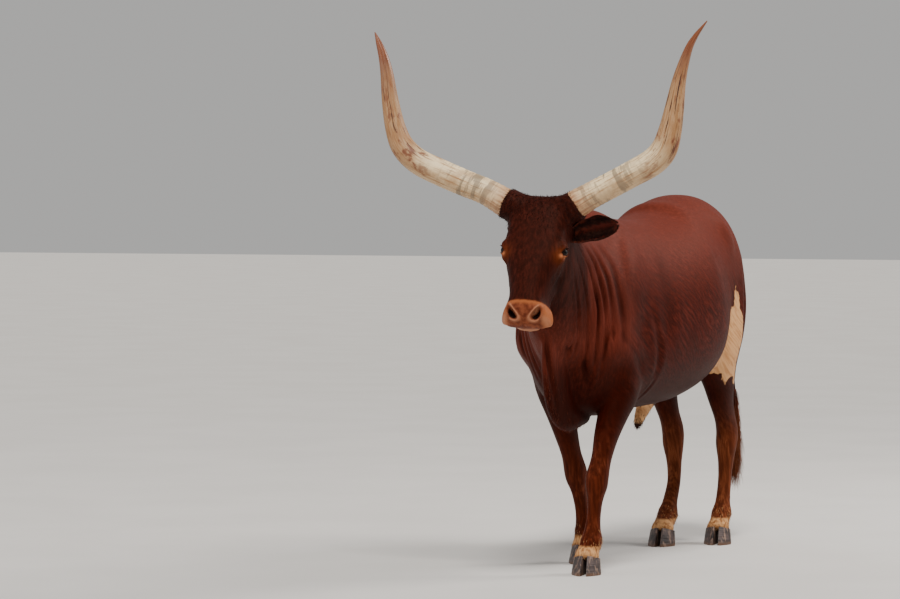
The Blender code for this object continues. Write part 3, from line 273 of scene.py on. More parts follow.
legRows = {  # height, half width, front reach, rear reach, squareness
    "fore": [
        (0.98, 0.06, 0.09, 0.1, 2.1), (0.88, 0.074, 0.125, 0.125, 2.1), (0.78, 0.078, 0.105, 0.12, 2.2),
        (0.69, 0.07, 0.08, 0.1, 2.2), (0.61, 0.059, 0.066, 0.074, 2.2), (0.52, 0.049, 0.054, 0.055, 2.1),
        (0.43, 0.041, 0.043, 0.044, 2.1), (0.365, 0.046, 0.046, 0.043, 2.3),
        (0.325, 0.044, 0.043, 0.044, 2.3), (0.28, 0.033, 0.031, 0.036, 2.2),
        (0.225, 0.029, 0.026, 0.033, 2.2), (0.17, 0.033, 0.029, 0.038, 2.2),
        (0.13, 0.043, 0.037, 0.046, 2.3), (0.095, 0.042, 0.036, 0.04, 2.3),
        (0.068, 0.047, 0.04, 0.042, 2.1), (0.025, 0.048, 0.041, 0.043, 2.1)],
    "hind": [
        (1.23, 0.05, 0.14, 0.11, 2.1), (1.12, 0.098, 0.2, 0.165, 2.2), (1, 0.108, 0.215, 0.182, 2.2),
        (0.88, 0.104, 0.2, 0.168, 2.2), (0.78, 0.09, 0.16, 0.14, 2.2), (0.69, 0.066, 0.115, 0.105, 2.2),
        (0.6, 0.05, 0.074, 0.078, 2.2), (0.52, 0.041, 0.054, 0.066, 2.2), (0.455, 0.045, 0.052, 0.06, 2.3),
        (0.4, 0.045, 0.046, 0.046, 2.3), (0.33, 0.034, 0.034, 0.038, 2.2), (0.25, 0.03, 0.029, 0.035, 2.2),
        (0.17, 0.033, 0.031, 0.038, 2.2), (0.13, 0.043, 0.038, 0.046, 2.3),
        (0.095, 0.041, 0.036, 0.04, 2.3), (0.068, 0.046, 0.04, 0.042, 2.1),
        (0.025, 0.047, 0.041, 0.043, 2.1)],
}
foreHeights = (0.98, 0.69, 0.52, 0.355, 0.13, 0.065)
hindHeights = (1.23, 1.00, 0.80, 0.60, 0.455, 0.27, 0.13, 0.065)
legs = {  # the joints' heights, x and y, then the foot's centre and where it points
    "foreleg_left": (foreHeights, (0.150, 0.150, 0.122, 0.100, 0.086, 0.076),
                     (-0.010, 0.010, -0.055, -0.095, -0.112, -0.134), (0.080, -0.150, 14)),
    "foreleg_right": (foreHeights, (-0.150, -0.152, -0.130, -0.112, -0.098, -0.095),
                      (0.000, 0.070, 0.130, 0.190, 0.245, 0.231), (-0.094, 0.215, 5)),
    "hindleg_left": (hindHeights, (0.090, 0.105, 0.118, 0.119, 0.116, 0.114, 0.112, 0.108),
                     (1.100, 1.115, 1.075, 1.130, 1.205, 1.190, 1.160, 1.128), (0.112, 1.112, 14)),
    "hindleg_right": (hindHeights, (-0.090, -0.105, -0.116, -0.108, -0.095, -0.083, -0.076, -0.073),
                      (1.090, 1.090, 1.040, 1.080, 1.136, 1.130, 1.040, 0.972), (-0.071, 0.956, 8)),
}


# x and y of a leg at a height, straight between its joints
def legPlace(leg, z):
    heights, xs, ys, _ = legs[leg]
    return np.interp(z, heights[::-1], xs[::-1]), np.interp(z, heights[::-1], ys[::-1])


def legLoft(leg):
    rows = []
    for z, half, front, rear, square in legRows[leg[:4]]:
        x, y = legPlace(leg, z)
        rows.append((x, y, z, half, rear, front, square))
    return loft(rows, sides=24)


dewclawRows = [(0.016, 0.020, 0.140, 0.016), (0.022, 0.040, 0.122, 0.016), (0.026, 0.050, 0.100, 0.011)]


# the small claws behind a fetlock: out to the side, back, height, radius
def dewclaws(leg):
    x, y = legPlace(leg, 0.125)
    turn = math.radians(legs[leg][3][2])
    pair = []
    for side in (1, -1):
        rows = [(x + side * out * math.cos(turn) - back * math.sin(turn),
                 y + side * out * math.sin(turn) + back * math.cos(turn), z, r)
                for out, back, z, r in dewclawRows]
        pair.append(rows)
    return pair


hornBase = onHead(0, 0, -0.055)


# every mass of the body as rings, the paired ones on both sides
def allMasses():
    trunk = [(0, y, z, half, top - z, z - low, p, k) for y, z, half, top, low, p, k in bodyRows["trunk"]]
    deep = headPlace["axisDepth"]
    head = [(*onHead(u, 0, deep), half, top - deep, deep - jaw, p, k)
            for u, top, jaw, half, p, k in bodyRows["head"]]
    lip = [(*onHead(u, 0, w), half, r, r, 2.2) for u, w, half, r in bodyRows["lowerLip"]]
    masses = [loft(trunk, sides=72), loft(bodyRows["neck"], sides=56), loft(head, -headLeft, 56),
              loft(lip, -headLeft, 32), loft(bodyRows["dewlap"], sides=20)]
    masses += [loft(bodyRows[kind], sides=16) for kind in ("sheath", "tail")]
    for leg in legs:
        masses.append(legLoft(leg))
        masses += [loft(rows, sides=12, steps=3) for rows in dewclaws(leg)]
    for side in (1, -1):
        boss = [(*(hornBase + side * a * headLeft + b * headUp), r) for a, b, r in bodyRows["boss"]]
        orbit, flew = ([(*onHead(u, side * v, w), r) for u, v, w, r in bodyRows[kind]]
                       for kind in ("orbit", "flew"))
        masses += [loft(boss, heading, 24), loft(orbit, headLeft, 16), loft(flew, headLeft, 20)]
        for rows in pairedRows.values():
            masses.append(loft([(side * row[0], *row[1:]) for row in rows], sides=20))
    return masses


# one piece from tubes of rings, each closed by a point in the middle of its first and last ring
def joinedTubes(name, tubes):
    points, quads, tris, count = [], [], [], 0
    for tube in tubes:
        rings, sides = tube.shape[:2]
        q, t = tubeFaces(rings, sides, count)
        points += [tube.reshape(-1, 3), tube[0].mean(0)[None], tube[-1].mean(0)[None]]
        quads.append(q)
        tris.append(t)
        count += rings * sides + 2
    return outward(newPiece(name, np.vstack(points), np.vstack(quads), np.vstack(tris)))


# each point's distance from a smooth path, and how far along the path the nearest place lies
def nearPath(points, path):
    line = spline(path, 5)
    near = np.full(len(points), 1e9)
    along = np.zeros(len(points))
    for i, (a, d) in enumerate(zip(line[:-1], np.diff(line, axis=0))):
        t = np.clip((points - a) @ d / (d @ d), 0, 1)
        gap = np.linalg.norm(points - a - t[:, None] * d, axis=1)
        closer = gap < near
        near, along = np.where(closer, gap, near), np.where(closer, (i + t) / (len(line) - 1), along)
    return near, along


# folds of loose hide: path, reach, depth; given for the left side, and mirrored where paired
folds = {
    "paired": [
        ([(0.2, 0.26, 1.22), (0.27, 0.22, 1.02), (0.26, 0.17, 0.84)], 0.045, 0.007),
        ([(0.2, 1.21, 1.14), (0.21, 1.18, 0.98), (0.18, 1.15, 0.8)], 0.018, 0.007),
        ([(0.19, 0.93, 0.98), (0.2, 0.9, 0.84), (0.17, 0.93, 0.73)], 0.022, 0.008),
        ([(0.21, -0.13, 0.9), (0.22, 0, 0.8), (0.19, 0.08, 0.72)], 0.018, 0.006),
        ([(0.24, 0.1, 0.98), (0.25, 0.15, 0.84), (0.22, 0.17, 0.72)], 0.02, 0.007),
        ([(0.2, -0.09, 0.74), (0.2, -0.03, 0.69), (0.19, 0.04, 0.66)], 0.01, 0.004),
        ([(0.22, 0.2, 0.8), (0.2, 0.17, 0.7), (0.15, 0.15, 0.63)], 0.01, 0.005),
        ([(0.24, 0.8, 0.76), (0.2, 0.84, 0.7), (0.15, 0.9, 0.66)], 0.012, 0.005)],
    "neck": [
        ([(0.147, -0.44, 1.19), (0.138, -0.375, 1.09), (0.124, -0.318, 0.98), (0.092, -0.272, 0.85),
          (0.046, -0.26, 0.72)], 0.008, 0.006),
        ([(0.14, -0.39, 1.2), (0.141, -0.322, 1.12), (0.137, -0.265, 1.01), (0.123, -0.233, 0.87),
          (0.069, -0.184, 0.71)], 0.007, 0.006),
        ([(0.136, -0.34, 1.23), (0.14, -0.254, 1.15), (0.15, -0.21, 1.03), (0.152, -0.205, 0.88),
          (0.103, -0.168, 0.71)], 0.008, 0.007),
        ([(0.124, -0.273, 1.24), (0.143, -0.196, 1.15), (0.17, -0.183, 1.03), (0.179, -0.184, 0.9),
          (0.139, -0.157, 0.75)], 0.009, 0.008),
        ([(0.12, -0.209, 1.24), (0.149, -0.153, 1.15), (0.182, -0.153, 1.04), (0.196, -0.167, 0.92),
          (0.164, -0.148, 0.79)], 0.011, 0.006),
        ([(0.125, -0.15, 1.24), (0.158, -0.108, 1.17), (0.203, -0.117, 1.03), (0.223, -0.127, 0.86)],
          0.016, 0.004),
        ([(0.12, -0.36, 1.08), (0.11, -0.31, 0.96), (0.075, -0.295, 0.84), (0.05, -0.28, 0.7)],
          0.007, 0.006)],
    "brisket": [
        ([(0.03, -0.43, 0.98), (0.032, -0.407, 0.87), (0.034, -0.361, 0.74), (0.028, -0.293, 0.62)],
          0.01, 0.009),
        ([(-0.012, -0.44, 0.95), (-0.014, -0.4, 0.82), (-0.012, -0.33, 0.68)], 0.008, 0.006),
        ([(0.07, -0.33, 0.9), (0.072, -0.28, 0.78), (0.06, -0.23, 0.66)], 0.01, 0.007),
        ([(-0.055, -0.36, 0.92), (-0.058, -0.31, 0.78), (-0.045, -0.24, 0.65)], 0.009, 0.007),
        ([(0.08, -0.23, 0.86), (0.095, -0.19, 0.76), (0.085, -0.14, 0.66)], 0.014, 0.008)],
}


def allFolds():
    mirror = np.array([-1.0, 1.0, 1.0])
    found = list(folds["brisket"])
    for path, reach, depth in folds["paired"] + folds["neck"]:
        found += [(np.array(path), reach, depth), (np.array(path) * mirror, reach, depth)]
    return found


# how deep each point lies in the folds: the depths' sum, each a bell across its path, faded at its ends
def foldDepth(points):
    total = np.zeros(len(points))
    for path, reach, depth in allFolds():
        low, high = np.min(path, 0) - 3 * reach - 0.05, np.max(path, 0) + 3 * reach + 0.05
        inside = np.nonzero(np.all((points > low) & (points < high), 1))[0]
        gap, along = nearPath(points[inside], path)
        fade = np.sin(np.pi * np.clip(along, 0.02, 0.98)) ** 0.6
        total[inside] += depth * fade * (bell(gap, reach) - 0.28 * bell(gap - 2.1 * reach, reach))
    return total


# one shallow hollow or swelling, and one groove, pressed along the surface's own directions
def dent(piece, centre, reach, depth):
    points, normals = pointsOf(piece)
    local = (points - centre) / reach
    setPoints(piece, points - normals * (depth * np.exp(-(local**2).sum(1)))[:, None])


def groove(piece, path, reach, depth):
    points, normals = pointsOf(piece)
    gap, along = nearPath(points, path)
    fade = np.sin(np.pi * np.clip(along, 0.02, 0.98)) ** 0.5
    setPoints(piece, points - normals * (depth * bell(gap, reach) * fade)[:, None])


# split the edges near some places once, so that small forms have faces to follow them
def refined(piece, places, reach):
    points, _ = pointsOf(piece)
    near = np.min([np.linalg.norm(points - place, axis=1) for place in places], 0) < reach

    def split(bm):
        edges = [e for e in bm.edges if near[e.verts[0].index] and near[e.verts[1].index]]
        bmesh.ops.subdivide_edges(bm, edges=edges, cuts=1, use_grid_fill=True)

    edited(piece, split)


# a vertex group that holds each point's weight, rounded to tenths
def weightGroup(piece, name, weight):
    group = piece.vertex_groups.new(name=name)
    for level in range(1, 11):
        chosen = np.nonzero(np.round(weight * 10).astype(int) == level)[0]
        group.add(chosen.tolist(), level / 10, "REPLACE")


# more smoothing where weight is 1
def softened(piece, weight, iterations):
    weightGroup(piece, "soft", weight)
    smooth = piece.modifiers.new("Smooth", "SMOOTH")
    smooth.factor, smooth.iterations, smooth.vertex_group = 0.5, iterations, "soft"
    return applied(piece)


skin = {"voxel": 0.0066, "smooth": 0.018, "trunkSmooth": 0.060, "coatDepth": 0.003, "headDepth": 0.0022,
        "triangles": 192000, "coronetHeight": 0.062, "coronetTilt": 0.28, "footTop": 0.16, "footReach": 0.12,
        # the trunk's extra smoothing fades out over the legs, before the tail and behind the head
        "legTop": 0.62, "legFade": 0.12, "tailFrom": 1.335, "tailFade": 0.05, "headFade": 0.06}
headPlane = (onHead(-0.045, 0, -0.130), unit(faceOut * -0.76 - faceDown * 0.64))


# 1 in the head, falling to 0 behind the plane where it joins the neck
def headness(points):
    behind = (points - headPlane[0]) @ headPlane[1]
    return smoothStep(-behind, -0.02, 0.03) * smoothStep(points[:, 2], 0.86, 0.90)


# where the foot's hair meets its claws: a plane that falls towards the toes
def coronet(leg):
    x, y, degrees = legs[leg][3]
    turn = math.radians(degrees)
    normal = unit([-math.sin(turn) * skin["coronetTilt"], math.cos(turn) * skin["coronetTilt"], 1.0])
    return np.array([x, y, skin["coronetHeight"]]), normal


# each foot cut off at its coronet plane and closed there
def trimFeet(bm):
    for leg in legs:
        point, normal = coronet(leg)
        middles = [(f, f.calc_center_median()) for f in bm.faces]
        near = [f for f, middle in middles if middle.z < skin["footTop"]
                and (middle.xy - Vector(point[:2])).length < skin["footReach"]]
        geom = list({v for f in near for v in f.verts}) + list({e for f in near for e in f.edges}) + near
        cut = bmesh.ops.bisect_plane(bm, geom=geom, dist=1e-6, plane_co=Vector(point),
                                     plane_no=Vector(-normal), clear_outer=True)
        rim = [e for e in cut["geom_cut"] if isinstance(e, bmesh.types.BMEdge)]
        bmesh.ops.holes_fill(bm, edges=rim, sides=0)


lids = {"halfWidth": 1.00, "halfHeight": 0.60, "over": 0.0012, "rim": 0.0020, "brow": 0.0042,
        "under": -0.0030, "crease": -0.0014, "pouch": -0.0012}


# the eye's own directions: where it looks, along its slit towards the nose, and over it
def eyeFrame(side):
    look = unit(side * headLeft * 0.86 + faceOut * 0.50)
    slit = faceOut * 0.72 + faceDown * 0.52
    slant = unit(slit - (slit @ look) * look)
    over = unit(np.cross(look, slant))
    return look, slant, over * np.sign(over @ headUp)


# lids: the hide lies just over the ball, dips under it inside an almond, and swells round its rim
def eyelids(piece, side):
    points, _ = pointsOf(piece)
    away = points - eyeCentre(side)
    distance = np.linalg.norm(away, axis=1)
    ray = away / np.maximum(distance, 1e-6)[:, None]
    look, slant, over = eyeFrame(side)
    a, b = (ray @ slant) / lids["halfWidth"], (ray @ over) / lids["halfHeight"]
    almond = np.abs(a) ** 1.5 + np.abs(b + 0.10 * (1 - a**2)) ** 1.5
    brow = lids["brow"] * bell(b - 1.35, 0.55) * np.exp(-((a / 0.9) ** 4))
    crease = lids["crease"] * (bell(b - 1.75, 0.12) + 0.7 * bell(b - 2.15, 0.10)) * bell(a, 0.8)
    pouch = lids["pouch"] * (bell(b + 1.65, 0.14) + 0.7 * bell(b + 2.1, 0.12)) * bell(a, 0.9)
    lid = lids["over"] + lids["rim"] * bell(almond - 1.22, 0.22) + brow + crease + pouch
    target = headPlace["eyeRadius"] + np.where(almond < 1, lids["under"], lid)
    facing = np.clip((ray @ look - 0.02) / 0.3, 0, 1)
    reach = smoothStep(-distance, -0.036, -0.025)
    setPoints(piece, points + ray * ((target - distance) * facing * reach)[:, None])


# how far a place lies from a nostril's middle, 1 at its rim: a comma that leans in at its foot;
# and 1 in front, where the nostril is, falling to 0 behind it
def nostrilRim(points, side):
    u, v, w = inHead(points)
    down, out = u - 0.440, v * side - 0.047
    across, along = (out + 0.9 * down) / 1.345, (down - 0.9 * out) / 1.345
    rim = np.hypot((across + 9.0 * along**2 - 0.001) / 0.0105, along / 0.0205)
    return rim, np.clip((w + 0.105) / 0.02, 0, 1)


# a pit inside the rim, a raised wing round it
def nostril(piece, side):
    points, normals = pointsOf(piece)
    rim, front = nostrilRim(points, side)
    push = -0.024 * np.exp(-(rim**4)) + 0.0028 * bell(rim - 1.42, 0.30)
    setPoints(piece, points + normals * (front * push)[:, None])


headMarks = {  # grooves on one side of the head: path in head places, reach, depth
    "facialCrest": ([(0.215, 0.1, -0.075), (0.27, 0.092, -0.085), (0.335, 0.078, -0.08)], 0.01, -0.004),
    "cheekHollow": ([(0.25, 0.088, -0.115), (0.3, 0.078, -0.11), (0.35, 0.073, -0.105)], 0.02, 0.008),
    "jawEdge": ([(0.23, 0.09, -0.225), (0.29, 0.074, -0.19), (0.35, 0.06, -0.168)], 0.012, -0.003),
    "noseSide": ([(0.25, 0.06, -0.008), (0.31, 0.058, -0.016), (0.37, 0.06, -0.022)], 0.01, 0.0025),
    "veinOne": ([(0.24, 0.094, -0.07), (0.285, 0.08, -0.05), (0.33, 0.07, -0.034)], 0.003, -0.0016),
    "veinTwo": ([(0.262, 0.088, -0.06), (0.3, 0.083, -0.078), (0.35, 0.078, -0.088)], 0.0028, -0.0014),
    "browRidge": ([(0.135, 0.07, 0), (0.15, 0.096, -0.012), (0.172, 0.112, -0.026)], 0.009, -0.003),
    "foreheadLine": ([(0.12, 0.04, 0.002), (0.16, 0.052, 0.002), (0.21, 0.056, -0.001)], 0.008, 0.0015),
    "tearGroove": ([(0.216, 0.106, -0.036), (0.236, 0.098, -0.04), (0.262, 0.09, -0.048)], 0.0042, 0.0026),
    "mouth": ([(0.47, 0, -0.113), (0.464, 0.034, -0.115), (0.45, 0.06, -0.121), (0.415, 0.073, -0.129),
          (0.375, 0.075, -0.132)], 0.0038, 0.011),
    "flewFold": ([(0.375, 0.066, -0.11), (0.405, 0.086, -0.128), (0.44, 0.09, -0.136)], 0.006, 0.003),
    "lipCorner": ([(0.385, 0.079, -0.12), (0.372, 0.076, -0.134), (0.362, 0.073, -0.146)], 0.0035, 0.003),
    "upperLip": ([(0.466, 0.016, -0.096), (0.452, 0.06, -0.102), (0.425, 0.084, -0.11)], 0.008, -0.002),
    "wingFold": ([(0.412, 0.058, -0.022), (0.41, 0.074, -0.038), (0.424, 0.086, -0.054)], 0.0035, 0.0022),
    "noseTop": ([(0.414, 0.052, -0.022), (0.424, 0.03, -0.026), (0.43, 0.01, -0.03)], 0.006, -0.0018),
}


headDents = {  # on one side of the head: place, reach, depth, which is below 0 for a swelling
    "cheek": ((0.20, 0.10, -0.16), 0.05, -0.005), "temple": ((0.10, 0.115, -0.05), 0.03, 0.006),
}


# every mark on both sides of the head, then its hollows, nostrils, lids and the groove under the nose
def shapeHead(piece):
    for side in (1, -1):
        for path, reach, depth in headMarks.values():
            groove(piece, [onHead(u, side * v, w) for u, v, w in path], reach, depth)
        for (u, v, w), reach, depth in headDents.values():
            dent(piece, onHead(u, side * v, w), reach, depth)
        nostril(piece, side)
        eyelids(piece, side)
    middle = [(0.450, 0, -0.055), (0.468, 0, -0.082), (0.471, 0, -0.104)]
    groove(piece, [onHead(*place) for place in middle], 0.0028, 0.004)


# a foot's own forms: the groove above its cleft, and the puffed band of hair over each claw
def shapeFoot(piece, leg):
    point, normal = coronet(leg)
    turn = math.radians(legs[leg][3][2])
    ahead = np.array([math.sin(turn), -math.cos(turn), 0.0])
    groove(piece, [point + ahead * 0.048 - skyward * 0.012, point + ahead * 0.044 + skyward * 0.012,
                   point + ahead * 0.034 + skyward * 0.040], 0.0075, 0.009)
    points, normals = pointsOf(piece)
    near = bell(np.linalg.norm(points[:, :2] - point[:2], axis=1), 0.12)
    puff = 0.0035 * bell((points - point) @ normal - 0.014, 0.013) * near
    setPoints(piece, points + normals * puff[:, None])


# the hide: every mass joined, remeshed, smoothed, drawn in by the coat's depth, marked and thinned
def skinMesh():
    hide = joinedTubes("skin", allMasses())
    remesh = hide.modifiers.new("Remesh", "REMESH")
    remesh.mode, remesh.voxel_size, remesh.use_smooth_shade = "VOXEL", skin["voxel"], True
    smooth = hide.modifiers.new("Smooth", "SMOOTH")
    smooth.factor, smooth.iterations = 0.5, int((skin["smooth"] / skin["voxel"]) ** 2)
    applied(hide)
    points, _ = pointsOf(hide)
    back = (points - headPlane[0]) @ headPlane[1]
    weight = np.clip((points[:, 2] - skin["legTop"]) / skin["legFade"], 0, 1)
    weight = weight * np.clip((skin["tailFrom"] - points[:, 1]) / skin["tailFade"], 0, 1)
    weight = weight * np.clip(back / skin["headFade"], 0, 1)
    softened(hide, weight, int((skin["trunkSmooth"] / skin["voxel"]) ** 2))
    points, normals = pointsOf(hide)
    depth = skin["coatDepth"] + (skin["headDepth"] - skin["coatDepth"]) * headness(points)
    setPoints(hide, points - normals * depth[:, None])
    print("skin: joined, remeshed and smoothed,", len(hide.data.polygons), "faces")
    eyes = [eyeCentre(1), eyeCentre(-1)]
    refined(hide, [onHead(0.43, 0, -0.09)], 0.125)  # the muzzle
    refined(hide, eyes + [onHead(0.43, v, -0.05) for v in (0.05, -0.05)], 0.046)  # lids and nostrils
    refined(hide, eyes, 0.040)  # the lids once more
    refined(hide, [onHead(0.46, v, -0.116) for v in (-0.06, -0.03, 0, 0.03, 0.06)], 0.030)  # the mouth line
    points, normals = pointsOf(hide)
    setPoints(hide, points - normals * foldDepth(points)[:, None])
    shapeHead(hide)
    for leg in legs:
        shapeFoot(hide, leg)
    edited(hide, trimFeet)
    hide.modifiers.new("Triangulate", "TRIANGULATE")
    applied(hide)
    points, _ = pointsOf(hide)
    weightGroup(hide, "keep", np.maximum(headness(points), smoothStep(-points[:, 1], -0.05, 0.02) * 0.6))
    thin = hide.modifiers.new("Decimate", "DECIMATE")
    thin.ratio = min(1.0, skin["triangles"] / len(hide.data.polygons))
    thin.vertex_group, thin.invert_vertex_group, thin.vertex_group_factor = "keep", True, 0.7
    applied(hide)
    hide.vertex_groups.clear()
    hide.data.polygons.foreach_set("use_smooth", np.ones(len(hide.data.polygons), bool))
    print("skin: shaped,", len(hide.data.polygons), "triangles")
    return hide


# signed distance to a closed outline in the plane of two coordinates, above 0 inside it
def insideOutline(a, b, outline):
    corners = np.asarray(outline, float)
    far = np.full(len(a), 1e9)
    odd = np.zeros(len(a), bool)
    for (ax, ay), (bx, by) in zip(corners, np.roll(corners, -1, 0)):
        ex, ey = bx - ax, by - ay
        t = np.clip(((a - ax) * ex + (b - ay) * ey) / (ex * ex + ey * ey), 0, 1)
        far = np.minimum(far, np.hypot(a - ax - t * ex, b - ay - t * ey))
        crosses = ((ay > b) != (by > b)) & (a < ex * (b - ay) / (ey if ey else 1e-9) + ax)
        odd ^= crosses
    return np.where(odd, far, -far)


markings = {
    "thighPatch": [(0.86, 0.755), (0.92, 0.86), (0.965, 0.945), (1.035, 0.965), (1.05, 1.005), (1.06, 1.075),
                   (1.10, 1.005), (1.11, 0.96), (1.155, 0.91), (1.155, 0.86), (1.12, 0.80), (1.115, 0.74),
                   (1.145, 0.64), (1.10, 0.70), (1.05, 0.66), (1.00, 0.70), (0.93, 0.69), (0.84, 0.66),
                   (0.80, 0.66)],
    "patchCap": 0.06, "patchFloor": -0.20, "patchFromX": 0.140, "patchFade": 1.6,
    "sheathFrom": (0.47, 0.68), "sheathTop": 0.612, "sheathTip": 0.530,
    "muzzleFrom": 0.388, "muzzleSoft": 0.020,
    # painted shade spots on each side of the head: place, reach, strength
    "paintedShadeSpots": [((0.285, 0.084, -0.105), 0.048, 0.9), ((0.055, 0.125, -0.100), 0.055, 0.8)],
}


# the skin's masks, each worked out from place alone: 1 on a marking, fading to 0 round it; some hold painted
# shade in folds, on the head and under the body, painted sheen along the back, painted shadow in the mouth
# and nostrils and painted highlights round the nostrils
def markingsAt(points):
    u, v, w = inHead(points)
    x, y, z = points.T
    head = headness(points)
    marks = {}
    lower = smoothStep(w, -0.165, -0.135)
    start = markings["muzzleFrom"] + 0.25 * np.clip(-0.075 - w, 0, 0.05)
    marks["muzzle"] = head * lower * smoothStep(u, start, start + markings["muzzleSoft"])
    out = np.abs(v)
    marks["muzzleSide"] = head * np.maximum(smoothStep(out, 0.058, 0.080), smoothStep(-u, -0.418, -0.400))
    lip = bell(w + 0.134, 0.014) * smoothStep(u, 0.44, 0.46)
    lip += 0.9 * bell(out - 0.078, 0.016) * bell(u - 0.452, 0.014)
    marks["muzzlePinkAndRimHighlight"] = np.clip(lip, 0, 1) * head
    # painted shade: the coat darkens with the folds' depth, less towards the rear
    shade = np.clip(foldDepth(points) / 0.007, 0, 1) * (1 - head) * (1 - 0.6 * smoothStep(y, 0, 0.12))
    ring, socket, pale, nostrilShade = np.zeros((4, len(points)))
    for side in (1, -1):
        look, slant, over = eyeFrame(side)
        away = points - eyeCentre(side)
        rimmed = smoothStep(-np.linalg.norm(away, axis=1), -0.0232, -0.0206)
        socket = np.maximum(socket, rimmed * smoothStep(away @ look, 0.0, 0.008))
        ring = np.maximum(ring, bell(np.linalg.norm(away - slant * 0.012 + over * 0.008, axis=1), 0.032))
        low = np.linalg.norm(away - slant * 0.010 + over * 0.017 - look * 0.014, axis=1)
        tear = np.linalg.norm(away - slant * 0.026 + over * 0.006 - look * 0.012, axis=1)
        pale = np.maximum(pale, np.maximum(bell(low, 0.0075), bell(tear, 0.008)))
        for (a, b, c), reach, strength in markings["paintedShadeSpots"]:
            far = np.linalg.norm(points - onHead(a, side * b, c), axis=1)
            shade = np.maximum(shade, strength * bell(far, reach) * head)
        rim, front = nostrilRim(points, side)
        # painted shade inside each nostril's pit
        nostrilShade = np.maximum(nostrilShade, smoothStep(-rim, -1.10, -0.80) * (front > 0))
        # painted highlight round the inner side of each nostril's raised rim, in the lips' pink
        paintedRimHighlight = bell(rim - 1.5, 0.28) * (front > 0) * head * smoothStep(-out, -0.062, -0.050)
        marks["muzzlePinkAndRimHighlight"] = np.maximum(marks["muzzlePinkAndRimHighlight"], 0.8 * paintedRimHighlight)
    marks["eyeRing"], marks["lidRim"], marks["lidPale"] = ring * head, socket, pale * head
    marks["nostrilShade"] = nostrilShade * head
    throat = np.maximum(smoothStep(w, -0.27, -0.21), smoothStep(z, 0.84, 1.06))
    marks["face"] = head * (1 - marks["muzzle"]) * throat
    # painted shadow along both sides of the mouth's groove
    mouth = [onHead(*p) for p in headMarks["mouth"][0]]
    mirrored = [onHead(p[0], -p[1], p[2]) for p in headMarks["mouth"][0]]
    gap = np.minimum(nearPath(points, mouth)[0], nearPath(points, mirrored)[0])
    marks["mouthShadow"] = bell(gap, 0.0042) * head
    leg = smoothStep(-z, -0.64, -0.36) * (1 - head)
    marks["leg"] = leg * np.where(y > 0.60, 1.0, 0.30)
    marks["fetlock"] = smoothStep(-z, -0.125, -0.088) * leg
    marks["lie"] = np.maximum(leg, np.maximum(head, smoothStep(-y, -0.05, 0.20)))
    patch = insideOutline(y, z, markings["thighPatch"])
    patch = np.minimum(patch, markings["patchCap"])
    patch -= markings["patchFade"] * np.maximum(markings["patchFromX"] - x, 0)
    marks["patch"] = np.maximum(patch, markings["patchFloor"])
    near, far = markings["sheathFrom"]
    sheath = smoothStep(y, near, near + 0.02) * smoothStep(-y, -far, -far + 0.08) \
        * smoothStep(-z, -markings["sheathTop"], -markings["sheathTop"] + 0.03) \
        * smoothStep(-np.abs(x), -0.09, -0.06) * smoothStep(z, 0.44, 0.47)
    marks["sheath"] = sheath
    marks["sheathTip"] = sheath * smoothStep(-z, -markings["sheathTip"], -markings["sheathTip"] + 0.012)
    horny = np.zeros(len(points))
    for name in legs:
        for rows in dewclaws(name):
            a, b = np.array(rows[1][:3]), np.array(rows[2][:3])
            tip = nearPath(points, [a, (a + b) / 2, b])[0]
            horny = np.maximum(horny, smoothStep(-tip, -0.0185, -0.0155) * smoothStep(-z, -0.132, -0.122))
    marks["dewclaw"] = horny
    # painted shade under the chest and belly
    under = smoothStep(-z, -0.90, -0.60) * smoothStep(y, -0.42, -0.30) * (1 - leg) * (1 - head)
    marks["paintedShade"] = np.maximum(shade, 0.95 * under)
    # painted sheen: lighter coat along the top of the body and on the neck's and shoulders' ridges between
    # the folds
    paintedRidgeSheen = smoothStep(-y, 0.0, 0.12) * smoothStep(z, 0.66, 0.84) * smoothStep(-z, -1.30, -1.10)
    marks["back"] = np.maximum(smoothStep(z, 0.98, 1.30), 0.9 * paintedRidgeSheen * (1 - marks["paintedShade"]) ** 2) \
        * (1 - marks["face"]) * (1 - marks["muzzle"])
    return marks


# node helpers: one node with its inputs wired or set, and short names for the kinds used most
def wire(tree, node, inputs):
    for key, value in inputs.items():
        if isinstance(value, bpy.types.NodeSocket):
            tree.links.new(value, node.inputs[key])
        else:
            node.inputs[key].default_value = value
    return node.outputs


def put(tree, kind, inputs=None, **settings):
    made = tree.nodes.new("ShaderNode" + kind)
    for key, value in settings.items():
        setattr(made, key, value)
    return wire(tree, made, inputs or {})


def mix(tree, factor, first, second):
    return put(tree, "Mix", {0: factor, 6: first, 7: second}, data_type="RGBA")[2]


def blend(tree, factor, first, second):
    return put(tree, "Mix", {0: factor, 2: first, 3: second}, data_type="FLOAT")[0]


def times(tree, first, second, how="MULTIPLY"):
    return put(tree, "Math", {0: first, 1: second}, operation=how)[0]


def plus(tree, first, second):
    return times(tree, first, second, "ADD")


def minus(tree, first, second):
    return times(tree, first, second, "SUBTRACT")


def between(tree, value, low, high, start=0.0, end=1.0):
    inputs = {"Value": value, "From Min": low, "From Max": high, "To Min": start, "To Max": end}
    return put(tree, "MapRange", inputs, interpolation_type="SMOOTHSTEP")[0]


def noise(tree, where, scale, detail, **more):
    return put(tree, "TexNoise", {"Vector": where, "Scale": scale, "Detail": detail, **more})


def stretched(tree, where, scale, turn=(0, 0, 0)):
    return put(tree, "Mapping", {"Vector": where, "Scale": scale, "Rotation": turn})[0]


def bump(tree, height, distance, strength, **more):
    return put(tree, "Bump", {"Height": height, "Distance": distance, "Strength": strength, **more})[0]


def mark(tree, name, output="Fac"):
    return put(tree, "Attribute", attribute_name=name)[output]


def ownPlace(tree):
    return put(tree, "TexCoord")["Object"]


